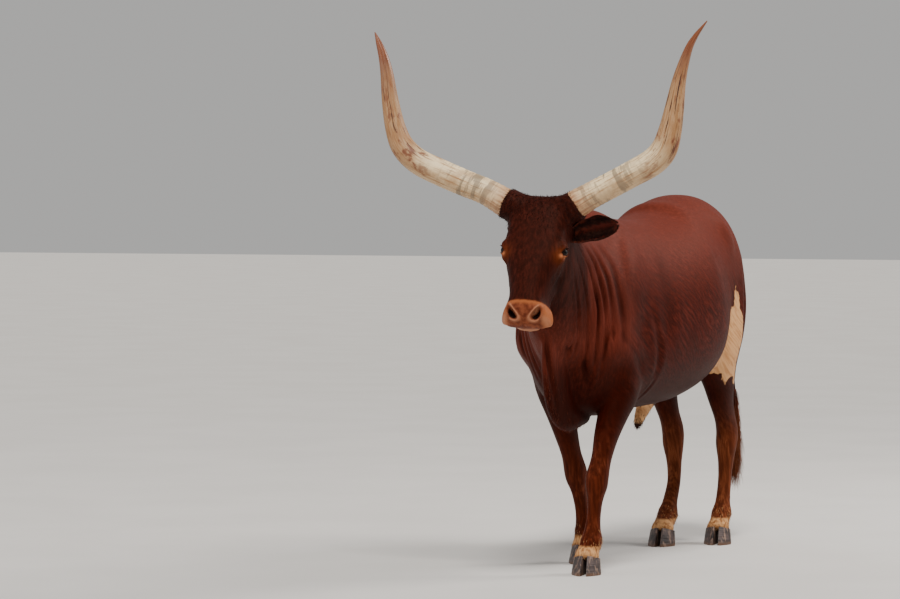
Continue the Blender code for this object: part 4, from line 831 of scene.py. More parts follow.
# a display colour of three numbers from 0 to 255, as linear light
def tone(r, g, b):
    shown = np.array([r, g, b]) / 255
    linear = np.where(shown < 0.04045, shown / 12.92, ((shown + 0.055) / 1.055) ** 2.4)
    return (*linear.tolist(), 1.0)


def newGroup(name, inputs, outputs):
    tree = bpy.data.node_groups.new(name, "ShaderNodeTree")
    for label, kind, value in inputs:
        socket = tree.interface.new_socket(label, in_out="INPUT", socket_type="NodeSocket" + kind)
        if value is not None:
            socket.default_value = value
    for label, kind in outputs:
        tree.interface.new_socket(label, in_out="OUTPUT", socket_type="NodeSocket" + kind)
    return tree, tree.nodes.new("NodeGroupInput").outputs, tree.nodes.new("NodeGroupOutput")


# hair: noise drawn out along the coat's lie, once for the trunk's lie and once hanging, mixed by Lie
def coatHairGroup():
    tree, given, result = newGroup(
        "coatHair",
        [("Vector", "Vector", None), ("Lie", "Float", 0.0), ("Hair Scale", "Float", 420.0),
         ("Streak Scale", "Float", 95.0)],
        [("Hair", "Float"), ("Streak", "Float"), ("Mottle", "Float")])
    warp = noise(tree, given["Vector"], 3.0, 1.0)["Color"]
    bent = put(tree, "VectorMath", {0: warp, 1: (0.09, 0.09, 0.09)}, operation="MULTIPLY")[0]
    where = put(tree, "VectorMath", {0: given["Vector"], 1: bent}, operation="ADD")[0]
    for label, stretch, detail in (("Hair", 0.07, 2.0), ("Streak", 0.10, 3.0)):
        values = []
        for lean in (-53.0, -8.0):  # the trunk's lie, then hanging hair
            turned = stretched(tree, where, (1, 1, 1), (math.radians(lean), 0, 0))
            drawn = stretched(tree, turned, (1, 1, stretch))
            values.append(noise(tree, drawn, given[label + " Scale"], detail, Roughness=0.55)["Fac"])
        wire(tree, result, {label: blend(tree, given["Lie"], *values)})
    wire(tree, result, {"Mottle": noise(tree, given["Vector"], 7.0, 4.0)["Fac"]})
    return tree


# the coat's red-brown: dark and light by streak and mottle, lighter by painted sheen along the back and neck,
# darker by painted shade in folds, on the head and under the body
def coatColourGroup():
    tree, given, result = newGroup(
        "coatColour",
        [("Streak", "Float", 0.5), ("Mottle", "Float", 0.5), ("Hair", "Float", 0.5),
         ("Dark", "Color", None), ("Middle", "Color", None), ("Light", "Color", None),
         ("Shade", "Float", 0.0), ("PaintedSheen", "Float", 0.0)],
        [("Color", "Color")])
    base = mix(tree, between(tree, given["Streak"], 0.30, 0.70, 0.30, 1.0), given["Dark"], given["Middle"])
    streaked = between(tree, given["Streak"], 0.45, 0.75)
    high = times(tree, times(tree, streaked, between(tree, given["Mottle"], 0.35, 0.70)), 0.30)
    # painted sheen, from the back mask
    high = plus(tree, high, times(tree, given["PaintedSheen"], 0.50))
    lit = mix(tree, times(tree, high, 1.0, "MINIMUM"), base, given["Light"])
    fine = mix(tree, between(tree, given["Hair"], 0.35, 0.65, 0.18, 0.0), lit, given["Dark"])
    wire(tree, result, {"Color": mix(tree, times(tree, given["Shade"], 0.80), fine, given["Dark"])})
    return tree


# an edge that wanders: a signed distance plus noise, cut to a mask
def raggedEdgeGroup():
    tree, given, result = newGroup(
        "raggedEdge", [("Distance", "Float", 0.0), ("Vector", "Vector", None), ("Wander", "Float", 0.012),
                       ("Scale", "Float", 55.0), ("Softness", "Float", 0.003)], [("Mask", "Float")])
    broad = noise(tree, given["Vector"], given["Scale"], 4.0)["Fac"]
    moved = times(tree, minus(tree, broad, 0.5), given["Wander"])
    low = times(tree, given["Softness"], -1.0)
    mask = between(tree, plus(tree, given["Distance"], moved), low, given["Softness"])
    wire(tree, result, {"Mask": mask})
    return tree


# cobbles of bare wet skin: the distance to the edges of small cells, as a height and a tone
def cobbleGroup():
    tree, given, result = newGroup("cobbles", [("Vector", "Vector", None), ("Scale", "Float", 230.0)],
                                   [("Height", "Float"), ("Tone", "Float")])
    cells = put(tree, "TexVoronoi", {"Vector": given["Vector"], "Scale": given["Scale"]},
                feature="DISTANCE_TO_EDGE")
    wire(tree, result, {"Height": between(tree, cells["Distance"], 0.0, 0.22),
                        "Tone": noise(tree, given["Vector"], 60.0, 3.0)["Fac"]})
    return tree


groups = {"hair": coatHairGroup(), "colour": coatColourGroup(), "edge": raggedEdgeGroup(),
          "cobbles": cobbleGroup()}


def place(tree, group, inputs):
    return put(tree, "Group", inputs, node_tree=groups[group])


def newMaterial(name):
    mat = bpy.data.materials.new(name)
    mat.use_nodes = True
    return mat, mat.node_tree, mat.node_tree.nodes["Principled BSDF"]


coat = {
    "bodyDark": tone(32, 4, 0), "bodyMiddle": tone(74, 18, 6), "bodyLight": tone(120, 56, 44),
    "faceDark": tone(26, 6, 3), "faceMiddle": tone(58, 19, 12), "faceLight": tone(86, 38, 28),
    "legDark": tone(44, 12, 3), "legMiddle": tone(108, 54, 31), "legLight": tone(176, 112, 70),
    "blondDark": tone(136, 88, 52), "blondLight": tone(198, 148, 100),
    "eyeRing": tone(116, 52, 22), "lidRim": tone(24, 11, 8), "lidPale": tone(176, 108, 70),
    "muzzleDark": tone(92, 42, 27), "muzzleLight": tone(130, 70, 46), "muzzleEdge": tone(164, 94, 54),
    "muzzlePinkAndRimHighlight": tone(186, 128, 96), "nostrilShade": tone(16, 6, 5), "mouthShadow": tone(40, 18, 13),
    "cream": tone(200, 152, 106), "creamDark": tone(172, 122, 80), "sheathTip": tone(48, 30, 24),
    "dewclaw": tone(56, 44, 40), "hairHeight": 0.0006, "streakHeight": 0.0012, "cobbleHeight": 0.0005,
}


# the skin's markings over the coat, and its painted shade, sheen and highlights, from the masks that
# markingsAt paints
def hideMaterial():
    mat, tree, shader = newMaterial("oxHide")
    where = ownPlace(tree)
    hair = place(tree, "hair", {"Vector": where, "Lie": mark(tree, "lie")})
    streak = hair["Streak"]
    # painted shade from the fold and underside mask, painted sheen from the back mask
    shades = {"Streak": streak, "Mottle": hair["Mottle"], "Hair": hair["Hair"],
              "Shade": mark(tree, "paintedShade"), "PaintedSheen": mark(tree, "back")}

    def toned(part):
        tones = {name: coat[part + name] for name in ("Dark", "Middle", "Light")}
        return place(tree, "colour", {**shades, **tones})["Color"]

    def ragged(distance, wander, scale, softness):
        return place(tree, "edge", {"Distance": distance, "Vector": where, "Wander": wander,
                                    "Scale": scale, "Softness": softness})["Mask"]

    colour = mix(tree, mark(tree, "leg"), toned("body"), toned("leg"))
    colour = mix(tree, mark(tree, "face"), colour, toned("face"))
    ring = times(tree, mark(tree, "eyeRing"), between(tree, streak, 0.25, 0.6, 0.40, 0.78))
    colour = mix(tree, ring, colour, coat["eyeRing"])
    blond = mix(tree, between(tree, streak, 0.35, 0.6), coat["blondDark"], coat["blondLight"])
    cuff = minus(tree, times(tree, mark(tree, "fetlock"), 2.4), 1.2)
    colour = mix(tree, ragged(cuff, 0.55, 60.0, 0.50), colour, blond)
    cream = mix(tree, between(tree, streak, 0.3, 0.6), coat["creamDark"], coat["cream"])
    colour = mix(tree, ragged(mark(tree, "patch"), 0.075, 19.0, 0.0030), colour, cream)
    colour = mix(tree, ragged(minus(tree, mark(tree, "sheath"), 0.5), 0.5, 40.0, 0.2), colour, cream)
    colour = mix(tree, mark(tree, "sheathTip"), colour, coat["sheathTip"])
    cobbles = place(tree, "cobbles", {"Vector": where})
    bare = mix(tree, between(tree, cobbles["Tone"], 0.3, 0.7), coat["muzzleDark"], coat["muzzleLight"])
    bare = mix(tree, times(tree, mark(tree, "muzzleSide"), 0.85), bare, coat["muzzleEdge"])
    # the lips' own pink, and painted highlight round the nostrils
    bare = mix(tree, times(tree, mark(tree, "muzzlePinkAndRimHighlight"), 0.75), bare, coat["muzzlePinkAndRimHighlight"])
    muzzle = ragged(minus(tree, mark(tree, "muzzle"), 0.5), 0.5, 70.0, 0.35)
    colour = mix(tree, muzzle, colour, bare)
    # painted shadow along the mouth and painted shade in the nostrils' pits; the lids and dewclaws in their
    # own colours
    for name, share in (("mouthShadow", 1.0), ("nostrilShade", 1.0), ("lidPale", 0.8), ("lidRim", 1.0), ("dewclaw", 1.0)):
        colour = mix(tree, times(tree, mark(tree, name), share), colour, coat[name])
    rough = blend(tree, muzzle, between(tree, hair["Hair"], 0.3, 0.7, 0.62, 0.50), 0.42)
    streaks = bump(tree, streak, coat["streakHeight"], 0.5)
    fine = bump(tree, hair["Hair"], coat["hairHeight"], 0.8, Normal=streaks)
    wet = bump(tree, times(tree, cobbles["Height"], muzzle), coat["cobbleHeight"], 0.6, Normal=fine)
    wire(tree, shader, {"Base Color": colour, "Roughness": rough, "Normal": wet,
                        "Specular IOR Level": 0.07, "Specular Tint": (1.0, 0.66, 0.52, 1)})
    return mat


# tufts in the coat's colours: dark roots, lighter tips, a different shade for each tuft
def tuftMaterial(name, dark, middle, light, gloss=0.5):
    mat, tree, shader = newMaterial(name)
    along, own = mark(tree, "along"), mark(tree, "own")
    base = mix(tree, between(tree, along, 0.0, 0.55), dark, middle)
    tipped = mix(tree, times(tree, between(tree, along, 0.4, 1.0), own), base, light)
    hair = place(tree, "hair", {"Vector": ownPlace(tree), "Lie": 1.0, "Hair Scale": 700.0})["Hair"]
    shown = mix(tree, between(tree, hair, 0.3, 0.6, 0.35, 0.0), tipped, dark)
    wire(tree, shader, {"Base Color": shown, "Roughness": between(tree, hair, 0.3, 0.7, gloss + 0.12, gloss),
                        "Normal": bump(tree, hair, 0.0005, 0.7), "Specular IOR Level": 0.12})
    return mat


bodySkin = skinMesh()
for maskName, values in markingsAt(pointsOf(bodySkin)[0]).items():
    paint(bodySkin, maskName, values)
print("skin: markings painted")


# move a piece from the tables' origin to the frame's, ride on the body and take its finish
def settle(piece, material, slot, *replaced):
    points, _ = pointsOf(piece)
    setPoints(piece, points + shift)
    piece.data.materials.clear()
    piece.data.materials.append(material)
    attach(piece, "root")
    if replaced:
        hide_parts(*replaced)
    return piece


hornSpec = {  # each side's rows are out to the side, up, radius
    "left": [
        (0.095, -0.012, 0.052), (0.13, 0.012, 0.055), (0.184, 0.046, 0.051), (0.26, 0.089, 0.05),
        (0.331, 0.13, 0.05), (0.402, 0.173, 0.051), (0.443, 0.22, 0.05), (0.463, 0.29, 0.044),
        (0.475, 0.377, 0.036), (0.487, 0.479, 0.026), (0.512, 0.582, 0.016), (0.538, 0.638, 0.01),
        (0.578, 0.695, 0.002)],
    "right": [
        (0.095, -0.015, 0.052), (0.14, 0.006, 0.055), (0.216, 0.044, 0.051), (0.305, 0.075, 0.051),
        (0.398, 0.11, 0.051), (0.482, 0.146, 0.049), (0.542, 0.196, 0.046), (0.575, 0.26, 0.04),
        (0.602, 0.358, 0.033), (0.623, 0.467, 0.025), (0.64, 0.53, 0.019), (0.66, 0.58, 0.012),
        (0.679, 0.622, 0.002)],
    "leanBack": 4, "fit": 0.972, "sides": 72, "steps": 20,
}


# round rings along the horn's curve; close rings of growth near the base, long ripples further out
def hornMesh(name, rows, side):
    lean = math.radians(hornSpec["leanBack"])
    rise = headUp * math.cos(lean) - heading * math.sin(lean)
    table = [(*(hornBase + side * out * headLeft + up * rise), r) for out, up, r in rows]
    rings = loft(table, heading, hornSpec["sides"], hornSpec["steps"])
    centre = rings.mean(1)
    length = np.concatenate([[0], np.cumsum(np.linalg.norm(np.diff(centre, axis=0), axis=1))])
    along = length / length[-1]
    turn = np.linspace(0, 2 * math.pi, hornSpec["sides"], endpoint=False)[None]
    s = length[:, None]
    grow = (1 - smoothStep(along, 0.14, 0.42))[:, None]
    ripple = np.sin(s * 310 + 1.3 * np.sin(s * 41) + 0.35 * np.sin(turn * 2)) * 0.011
    ripple += np.sin(s * 760 + 2.0 * np.sin(s * 63) + 0.3 * np.sin(turn * 3 + 1)) * 0.004
    lines = np.sin(turn * 9 + 1.4 * np.sin(s * 11) + s * 5) * 0.004
    lines = lines + np.sin(turn * 23 + 2 * np.sin(s * 17)) * 0.002
    worn = smoothStep(along, 0.10, 0.35)[:, None] * (1 - smoothStep(along, 0.70, 0.92))[:, None]
    scale = hornSpec["fit"] * (1 - 0.012 * grow + ripple * grow + lines * worn)
    shaped = centre[:, None] + (rings - centre[:, None]) * scale[..., None]
    quads, tris = tubeFaces(*shaped.shape[:2])
    points = np.vstack([shaped.reshape(-1, 3), centre[:1], centre[-1:]])
    piece = outward(newPiece(name, points, quads, tris))
    flat = np.stack(np.broadcast_arrays(0.05 * np.cos(turn), 0.05 * np.sin(turn), s), -1).reshape(-1, 3)
    flat = np.vstack([flat, [[0, 0, 0]], [[0, 0, length[-1]]]])
    paint(piece, "straight", flat + np.array([0, 0, 3.0 * (side < 0)]))
    paint(piece, "hornAlong", np.concatenate([np.repeat(along, shaped.shape[1]), [0, 1]]))
    return piece


ivory = {
    "root": tone(146, 96, 62), "rootPale": tone(194, 154, 114), "cream": tone(242, 218, 174),
    "grey": tone(118, 102, 82), "tan": tone(148, 98, 52), "rust": tone(104, 44, 18),
    "crack": tone(62, 28, 14), "tip": tone(140, 80, 46), "tipDark": tone(98, 48, 26),
}


# pale horn: banded root, cream length, rusty cracks about the bend, red-brown tip, and painted shade in tan
# on its underside
def hornMaterial():
    mat, tree, shader = newMaterial("oxHorn")
    flat = mark(tree, "straight", "Vector")
    along = mark(tree, "hornAlong")

    def drawn(scale, detail, squeeze=(1, 1, 1)):
        return noise(tree, stretched(tree, flat, squeeze), scale, detail, Roughness=0.6)["Fac"]

    broad = drawn(11.0, 4.0)
    grain = drawn(150.0, 5.0, (1, 1, 0.07))
    bands = drawn(38.0, 3.0, (0.16, 0.16, 1))
    stains = drawn(30.0, 6.0, (1, 1, 0.55))
    cracks = drawn(70.0, 3.0, (1, 1, 0.08))
    blots = drawn(16.0, 5.0, (1, 1, 0.7))
    wander = plus(tree, along, times(tree, minus(tree, broad, 0.5), 0.16))
    body = mix(tree, between(tree, grain, 0.28, 0.52), ivory["tan"], ivory["cream"])
    body = mix(tree, between(tree, blots, 0.46, 0.68, 0.0, 0.50), body, ivory["tan"])
    # painted shade: the horn turns tan where its surface faces down
    up = put(tree, "SeparateXYZ", {0: put(tree, "NewGeometry")["Normal"]})["Z"]
    body = mix(tree, between(tree, up, -0.45, 0.45, 0.50, 0.0), body, ivory["tan"])
    ringed = times(tree, between(tree, bands, 0.49, 0.58), between(tree, wander, 0.42, 0.22))
    body = mix(tree, times(tree, ringed, 0.75), body, ivory["grey"])
    root = mix(tree, between(tree, grain, 0.36, 0.62), ivory["root"], ivory["rootPale"])
    body = mix(tree, between(tree, wander, 0.16, 0.03), body, root)
    bend = times(tree, between(tree, wander, 0.36, 0.52), between(tree, wander, 0.96, 0.78))
    streaked = times(tree, between(tree, grain, 0.36, 0.56, 0.50, 1.0), bend)
    body = mix(tree, times(tree, streaked, 0.90), body, ivory["tan"])
    stained = times(tree, between(tree, stains, 0.52, 0.64), between(tree, wander, 0.26, 0.46))
    stained = times(tree, stained, between(tree, wander, 0.95, 0.60))
    body = mix(tree, times(tree, stained, 0.85), body, ivory["rust"])
    cracked = times(tree, between(tree, cracks, 0.60, 0.65), bend)
    body = mix(tree, cracked, body, ivory["crack"])
    tip = mix(tree, between(tree, grain, 0.36, 0.62), ivory["tipDark"], ivory["tip"])
    body = mix(tree, between(tree, wander, 0.64, 0.92), body, tip)
    depth = minus(tree, times(tree, grain, 0.35), cracked)
    wire(tree, shader, {"Base Color": body, "Roughness": between(tree, wander, 0.70, 0.92, 0.56, 0.36),
                        "Normal": bump(tree, depth, 0.0016, 0.7), "Specular IOR Level": 0.45})
    return mat


hornPieces = [hornMesh("horn_left_fine", hornSpec["left"], 1),
              hornMesh("horn_right_fine", hornSpec["right"], -1)]
print("horns: grown")

clawSpec = {"length": 0.130, "width": 0.058, "across": 44, "rise": 26, "inside": 0.0006,
            "cleft": 0.0025, "spread": 0.0095, "forward": 0.005, "lean": 0.021, "tucked": 0.004}


# one claw: half an almond in plan, drawn up to the coronet plane, with its toe wall leaning back
def clawMesh(name, leg, side):
    x, y, degrees = legs[leg][3]
    turn = math.radians(degrees)
    point, normal = coronet(leg)
    s = (1 - np.cos(np.linspace(0, math.pi, clawSpec["across"]))) / 2
    cleft = clawSpec["cleft"] + clawSpec["spread"] * s**3
    outer = cleft + clawSpec["width"] * np.sin(np.pi * s**0.9) ** 0.60 * (1 - 0.36 * s**2)
    ahead = np.concatenate([s, s[::-1][1:-1]])
    out = np.concatenate([outer, cleft[::-1][1:-1]])
    middle = out.mean()
    rise = np.concatenate([[0.0, 0.004, 0.018, 0.05], np.linspace(0.09, 1.0, clawSpec["rise"])])[:, None]
    tuck = 0.030 * (1 - smoothStep(rise, 0.0, 0.09))
    rings = 1 + 0.010 * np.sin(rise * 46 + 2.2 * np.sin(rise * 9)) * smoothStep(rise, 0.02, 0.12)
    length = clawSpec["length"] * (1 - 0.30 * rise) * (1 - tuck) * rings - clawSpec["inside"] * 2
    forward = (ahead - 0.5) * length + clawSpec["forward"] - clawSpec["lean"] * rise
    wide = middle * (1 - 0.12 * rise) + (out - middle) * (1 - 1.3 * tuck) * (1 - 0.12 * rise) * rings
    wide = np.maximum(wide - clawSpec["inside"], 0.0022)
    px = x + math.sin(turn) * forward + side * math.cos(turn) * wide
    py = y - math.cos(turn) * forward + side * math.sin(turn) * wide
    lid = point[2] - ((px - point[0]) * normal[0] + (py - point[1]) * normal[1]) / normal[2]
    pz = (lid + clawSpec["tucked"]) * rise
    piece = joinedTubes(name, [np.stack([px, py, pz], -1)])
    paint(piece, "rise", np.concatenate([np.repeat(rise.ravel(), len(ahead)), [0, 1]]))
    return piece


hoof = {"dark": tone(40, 32, 32), "middle": tone(76, 62, 60), "pale": tone(132, 108, 94),
        "soil": tone(112, 78, 54)}


# grey horn with pale upright streaks, faint growth rings, and soil along the ground
def clawMaterial():
    mat, tree, shader = newMaterial("oxClaw")
    where = ownPlace(tree)
    streak = noise(tree, stretched(tree, where, (1, 1, 0.09)), 95.0, 3.0)["Fac"]
    cloud = noise(tree, where, 30.0, 3.0)["Fac"]
    body = mix(tree, between(tree, cloud, 0.35, 0.65), hoof["dark"], hoof["middle"])
    body = mix(tree, between(tree, streak, 0.52, 0.66, 0.0, 0.85), body, hoof["pale"])
    low = plus(tree, mark(tree, "rise"), times(tree, minus(tree, cloud, 0.5), 0.5))
    body = mix(tree, between(tree, low, 0.22, 0.0, 0.0, 0.55), body, hoof["soil"])
    rings = put(tree, "TexWave", {"Vector": where, "Scale": 38.0, "Distortion": 1.5, "Detail": 1.0},
                bands_direction="Z")["Fac"]
    height = plus(tree, times(tree, rings, 0.4), times(tree, streak, 0.6))
    wire(tree, shader, {"Base Color": body, "Roughness": between(tree, streak, 0.3, 0.7, 0.46, 0.60),
                        "Normal": bump(tree, height, 0.0008, 0.6), "Specular IOR Level": 0.4})
    return mat


ears = {  # reach and opening are shares of the head's left, its up and its heading
    "length": 0.196, "along": 70, "across": 49, "root": (0.085, 0.092, -0.120),
    "left": {"reach": (0.94, 0.36, -0.10), "opening": (0, -0.30, 0.88)},
    "right": {"reach": (-0.26, -0.06, -0.96), "opening": (-0.90, -0.25, 0)},
}


# a cupped leaf: arcs about a line, rolled shut at the root and opening to a blunt tip, between two skins
def earMesh(name, side):
    down, out, deep = ears["root"]
    root = onHead(down, side * out, deep)
    turned = ears["left" if side > 0 else "right"]
    reach, opening = (unit(np.array(turned[k]) @ [headLeft, headUp, heading]) for k in ("reach", "opening"))
    opening = unit(opening - (opening @ reach) * reach)
    across = np.cross(opening, reach)
    along = np.sin(np.linspace(0, math.pi / 2, ears["along"]))[:, None]
    turn = np.linspace(-1, 1, ears["across"])[None]
    half = (0.022 + 0.026 * np.sin(np.pi * along**1.2 * 0.85)) * np.sqrt(1 - 0.96 * along**7)
    arc = np.radians(150 - 105 * np.clip(along / 0.6, 0, 1) ** 0.7)
    radius = half / np.sin(np.minimum(arc, math.pi / 2))
    centre = root + (ears["length"] * along)[..., None] * reach
    centre = centre + (radius * 0.8)[..., None] * opening - (0.020 * along**2)[..., None] * headUp
    spoke = np.sin(turn * arc)[..., None] * across - np.cos(turn * arc)[..., None] * opening
    edge = 1 - np.abs(turn) ** 6
    thick = (0.0019 + 0.0019 * (1 - along)) * (0.35 + 0.65 * edge)
    ribs = 0.0011 * np.cos(turn * 9.5) * np.sin(np.pi * np.clip(along * 1.1, 0, 1)) * edge
    curl = 0.0020 * np.sin(along * 17 + 2 * turn) * np.abs(turn) ** 3
    front = centre + (radius - thick - ribs + curl)[..., None] * spoke
    back = centre + (radius + thick + curl)[..., None] * spoke
    rows, cols = front.shape[:2]
    index = np.arange(rows * cols).reshape(rows, cols)
    under = index + rows * cols
    rims = [(index[0], under[0]), (under[-1], index[-1]), (under[:, 0], index[:, 0]),
            (index[:, -1], under[:, -1])]
    quads = [np.stack([index[:-1, :-1], index[:-1, 1:], index[1:, 1:], index[1:, :-1]], -1).reshape(-1, 4),
             np.stack([under[:-1, :-1], under[1:, :-1], under[1:, 1:], under[:-1, 1:]], -1).reshape(-1, 4)]
    quads += [np.stack([near[:-1], far[:-1], far[1:], near[1:]], -1) for near, far in rims]
    piece = outward(newPiece(name, np.vstack([front.reshape(-1, 3), back.reshape(-1, 3)]), np.vstack(quads)))
    paint(piece, "inner", np.repeat([1.0, 0.0], rows * cols))
    paint(piece, "edge", np.tile(np.maximum(np.abs(turn), along).ravel(), 2))
    return piece, front, unit(-spoke), reach


earTones = {"inside": tone(84, 24, 12), "insideLight": tone(150, 66, 36), "outside": tone(76, 22, 10),
            "outsideDark": tone(38, 9, 4), "rim": tone(70, 30, 20)}


# dark red-brown outside, lighter in the cup, with a dark rim
def earMaterial():
    mat, tree, shader = newMaterial("oxEar")
    hair = place(tree, "hair", {"Vector": ownPlace(tree), "Lie": 0.5, "Streak Scale": 60.0})
    streak, fine = hair["Streak"], hair["Hair"]
    outside = mix(tree, between(tree, streak, 0.35, 0.65), earTones["outsideDark"], earTones["outside"])
    patchy = times(tree, between(tree, hair["Mottle"], 0.45, 0.70), between(tree, streak, 0.3, 0.6))
    inside = mix(tree, patchy, earTones["inside"], earTones["insideLight"])
    colour = mix(tree, mark(tree, "inner"), outside, inside)
    colour = mix(tree, between(tree, mark(tree, "edge"), 0.86, 0.99, 0.0, 0.7), colour, earTones["rim"])
    wire(tree, shader, {"Base Color": colour, "Roughness": between(tree, fine, 0.3, 0.7, 0.62, 0.48),
                        "Normal": bump(tree, fine, 0.0007, 0.8), "Specular IOR Level": 0.12})
    return mat


eye = {"rings": 40, "sides": 64, "cornea": 0.0011, "inside": 0.0001}


# a ball in rings about where it looks, swelling a little over the iris
def eyeMesh(name, side):
    look, slant, over = eyeFrame(side)
    angle = np.linspace(0.02, math.pi - 0.02, eye["rings"])[:, None]
    turn = np.linspace(0, 2 * math.pi, eye["sides"], endpoint=False)[None]
    radius = headPlace["eyeRadius"] - eye["inside"] - eye["cornea"] * (1 - bell(angle, 0.75))
    ray = (np.cos(angle) * np.ones_like(turn))[..., None] * look \
        + (np.sin(angle) * np.cos(turn))[..., None] * slant + (np.sin(angle) * np.sin(turn))[..., None] * over
    grid = eyeCentre(side) + radius[..., None] * ray
    piece = joinedTubes(name, [grid])
    rays = np.vstack([ray.reshape(-1, 3), look[None], -look[None]])
    paint(piece, "gaze", np.stack([rays @ slant, rays @ over, rays @ look], -1))
    return piece


eyeTones = {"pupil": tone(6, 5, 6), "iris": tone(44, 20, 10), "irisRim": tone(16, 8, 6),
            "white": tone(84, 50, 38)}


# a wide black pupil in a dark brown iris, under a wet clear coat
def eyeMaterial():
    mat, tree, shader = newMaterial("oxEye")
    gaze = put(tree, "SeparateXYZ", {0: mark(tree, "gaze", "Vector")})

    def squared(value, share):
        return times(tree, times(tree, times(tree, value, 0.0, "ABSOLUTE"), share), 2.0, "POWER")

    oval = plus(tree, squared(gaze["X"], 1.9), squared(gaze["Y"], 3.6))
    fibres = noise(tree, ownPlace(tree), 420.0, 3.0)["Fac"]
    iris = mix(tree, between(tree, fibres, 0.35, 0.65), eyeTones["irisRim"], eyeTones["iris"])
    colour = mix(tree, between(tree, gaze["Z"], 0.66, 0.54), iris, eyeTones["irisRim"])
    colour = mix(tree, between(tree, gaze["Z"], 0.54, 0.46), colour, eyeTones["white"])
    colour = mix(tree, between(tree, oval, 1.15, 0.85), colour, eyeTones["pupil"])
    wire(tree, shader, {"Base Color": colour, "Roughness": between(tree, fibres, 0.3, 0.7, 0.10, 0.16),
                        "Coat Weight": 0.05, "Coat Roughness": 0.05, "Specular IOR Level": 0.12})
    return mat


# roots spread over a surface: faces drawn by area times density, then a place inside each face
def scattered(piece, density, count, rng):
    points, normals = pointsOf(piece)
    piece.data.calc_loop_triangles()
    tris = np.empty(len(piece.data.loop_triangles) * 3, np.int32)
    piece.data.loop_triangles.foreach_get("vertices", tris)
    tris = tris.reshape(-1, 3)
    a, b, c = (points[tris[:, i]] for i in range(3))
    weight = np.linalg.norm(np.cross(b - a, c - a), axis=1) * density(points)[tris].mean(1)
    chosen = rng.choice(len(tris), count, p=weight / weight.sum())
    r, s = rng.random(count), rng.random(count)
    r, s = np.where(r + s > 1, 1 - r, r), np.where(r + s > 1, 1 - s, s)
    share = np.stack([1 - r - s, r, s], -1)[..., None]
    spots = (points[tris[chosen]] * share).sum(1)
    return spots, unit((normals[tris[chosen]] * share).sum(1))


# tufts: a path from each root that leaves along the normal and lies down along the coat, with three-sided
# rings that taper to a point; each tuft's own patch of its map stands at its root's place
def tufts(name, roots, normals, lie, mapPlace, spec, rng):
    count = len(roots)
    steps = spec.get("steps", 4)
    t = (np.arange(steps) / steps)[None, :, None]
    length = spec["length"] * (1 + spec.get("vary", 0.35) * (rng.random(count) * 2 - 1))[:, None, None]
    jitter = rng.normal(size=(count, 3)) * spec.get("stray", 0.2)
    lie = unit(lie + jitter)[:, None]
    normals = np.asarray(normals)[:, None]
    side = unit(np.cross(lie[:, 0], normals[:, 0]))[:, None]
    lift = (spec["lift"] * (0.7 + 0.6 * rng.random(count)))[:, None, None]
    wave = (spec.get("curl", 0.0) * rng.normal(size=count))[:, None, None]
    drop = np.array([0, 0, -spec.get("droop", 0.0)])

    def path(t):
        out = lie * t * (0.55 + 0.45 * t) + normals * lift * np.sin(np.clip(t * 1.9, 0, math.pi)) * 0.62
        return out + side * wave * np.sin(t * 5.0) + drop * t**2

    sink = normals * spec.get("sink", 0.003)
    centre = roots[:, None] - sink + length * path(t)
    tangent = unit(path(t + 0.02) - path(t))
    across = unit(np.cross(tangent, normals + 0 * tangent))
    up = np.cross(across, tangent)
    width = spec["width"] * (0.75 + 0.5 * rng.random(count))[:, None, None] * (1 - t**1.6) ** 0.8
    corners = [(-1.0, -0.3), (1.0, -0.3), (0.0, 0.55)]
    rings = np.stack([centre + across * width * a + up * width * b for a, b in corners], 2)
    tips = roots[:, None] - sink + length * path(np.ones((1, 1, 1)))
    points = np.concatenate([rings.reshape(count, steps * 3, 3), tips], 1)
    size = steps * 3 + 1
    first = np.arange(steps - 1)[:, None] * 3 + np.arange(3)
    beside = np.arange(steps - 1)[:, None] * 3 + (np.arange(3) + 1) % 3
    quads = np.stack([first, beside, beside + 3, first + 3], -1).reshape(-1, 4)
    last = (steps - 1) * 3
    tris = np.array([[last + i, last + (i + 1) % 3, size - 1] for i in range(3)] + [[2, 1, 0]])
    offset = (np.arange(count) * size)[:, None, None]
    piece = newPiece(name, points.reshape(-1, 3), (quads[None] + offset).reshape(-1, 4),
                     (tris[None] + offset).reshape(-1, 3))
    along = np.concatenate([np.repeat(np.arange(steps) / steps, 3), [1.0]])
    paint(piece, "along", np.tile(along, count))
    paint(piece, "own", np.repeat(rng.random(count), size))
    own = np.stack([np.concatenate([np.tile([0.0, 1.0, 0.5], steps), [0.5]]), along], -1) * 0.003
    spots = (np.asarray(mapPlace)[:, None] * 0.99 + own[None]).reshape(-1, 2)
    corner = np.empty(len(piece.data.loops), np.int32)
    piece.data.loops.foreach_get("vertex_index", corner)
    layer = piece.data.uv_layers.new(name="OFBake")
    layer.data.foreach_set("uv", spots[corner].astype(np.float32).ravel())
    return outward(piece)


# the skin unrolled: a turn about a line one way, the place along that line the other way, both 0 to 1
def unrolled(points, foot, axis, out, low, high):
    axis, local = unit(axis), np.asarray(points) - np.asarray(foot)
    out = unit(np.asarray(out) - (np.asarray(out) @ axis) * axis)
    turn = np.arctan2(local @ np.cross(axis, out), local @ out) / (2 * math.pi) + 0.5
    return np.stack([turn, np.clip((local @ axis - low) / (high - low), 0, 1)], -1)


# along the surface, a wished direction with its part along the normal taken out
def laid(wish, normals):
    wish = np.asarray(wish, float) + np.zeros_like(normals)
    return unit(wish - (wish * normals).sum(1, keepdims=True) * normals)


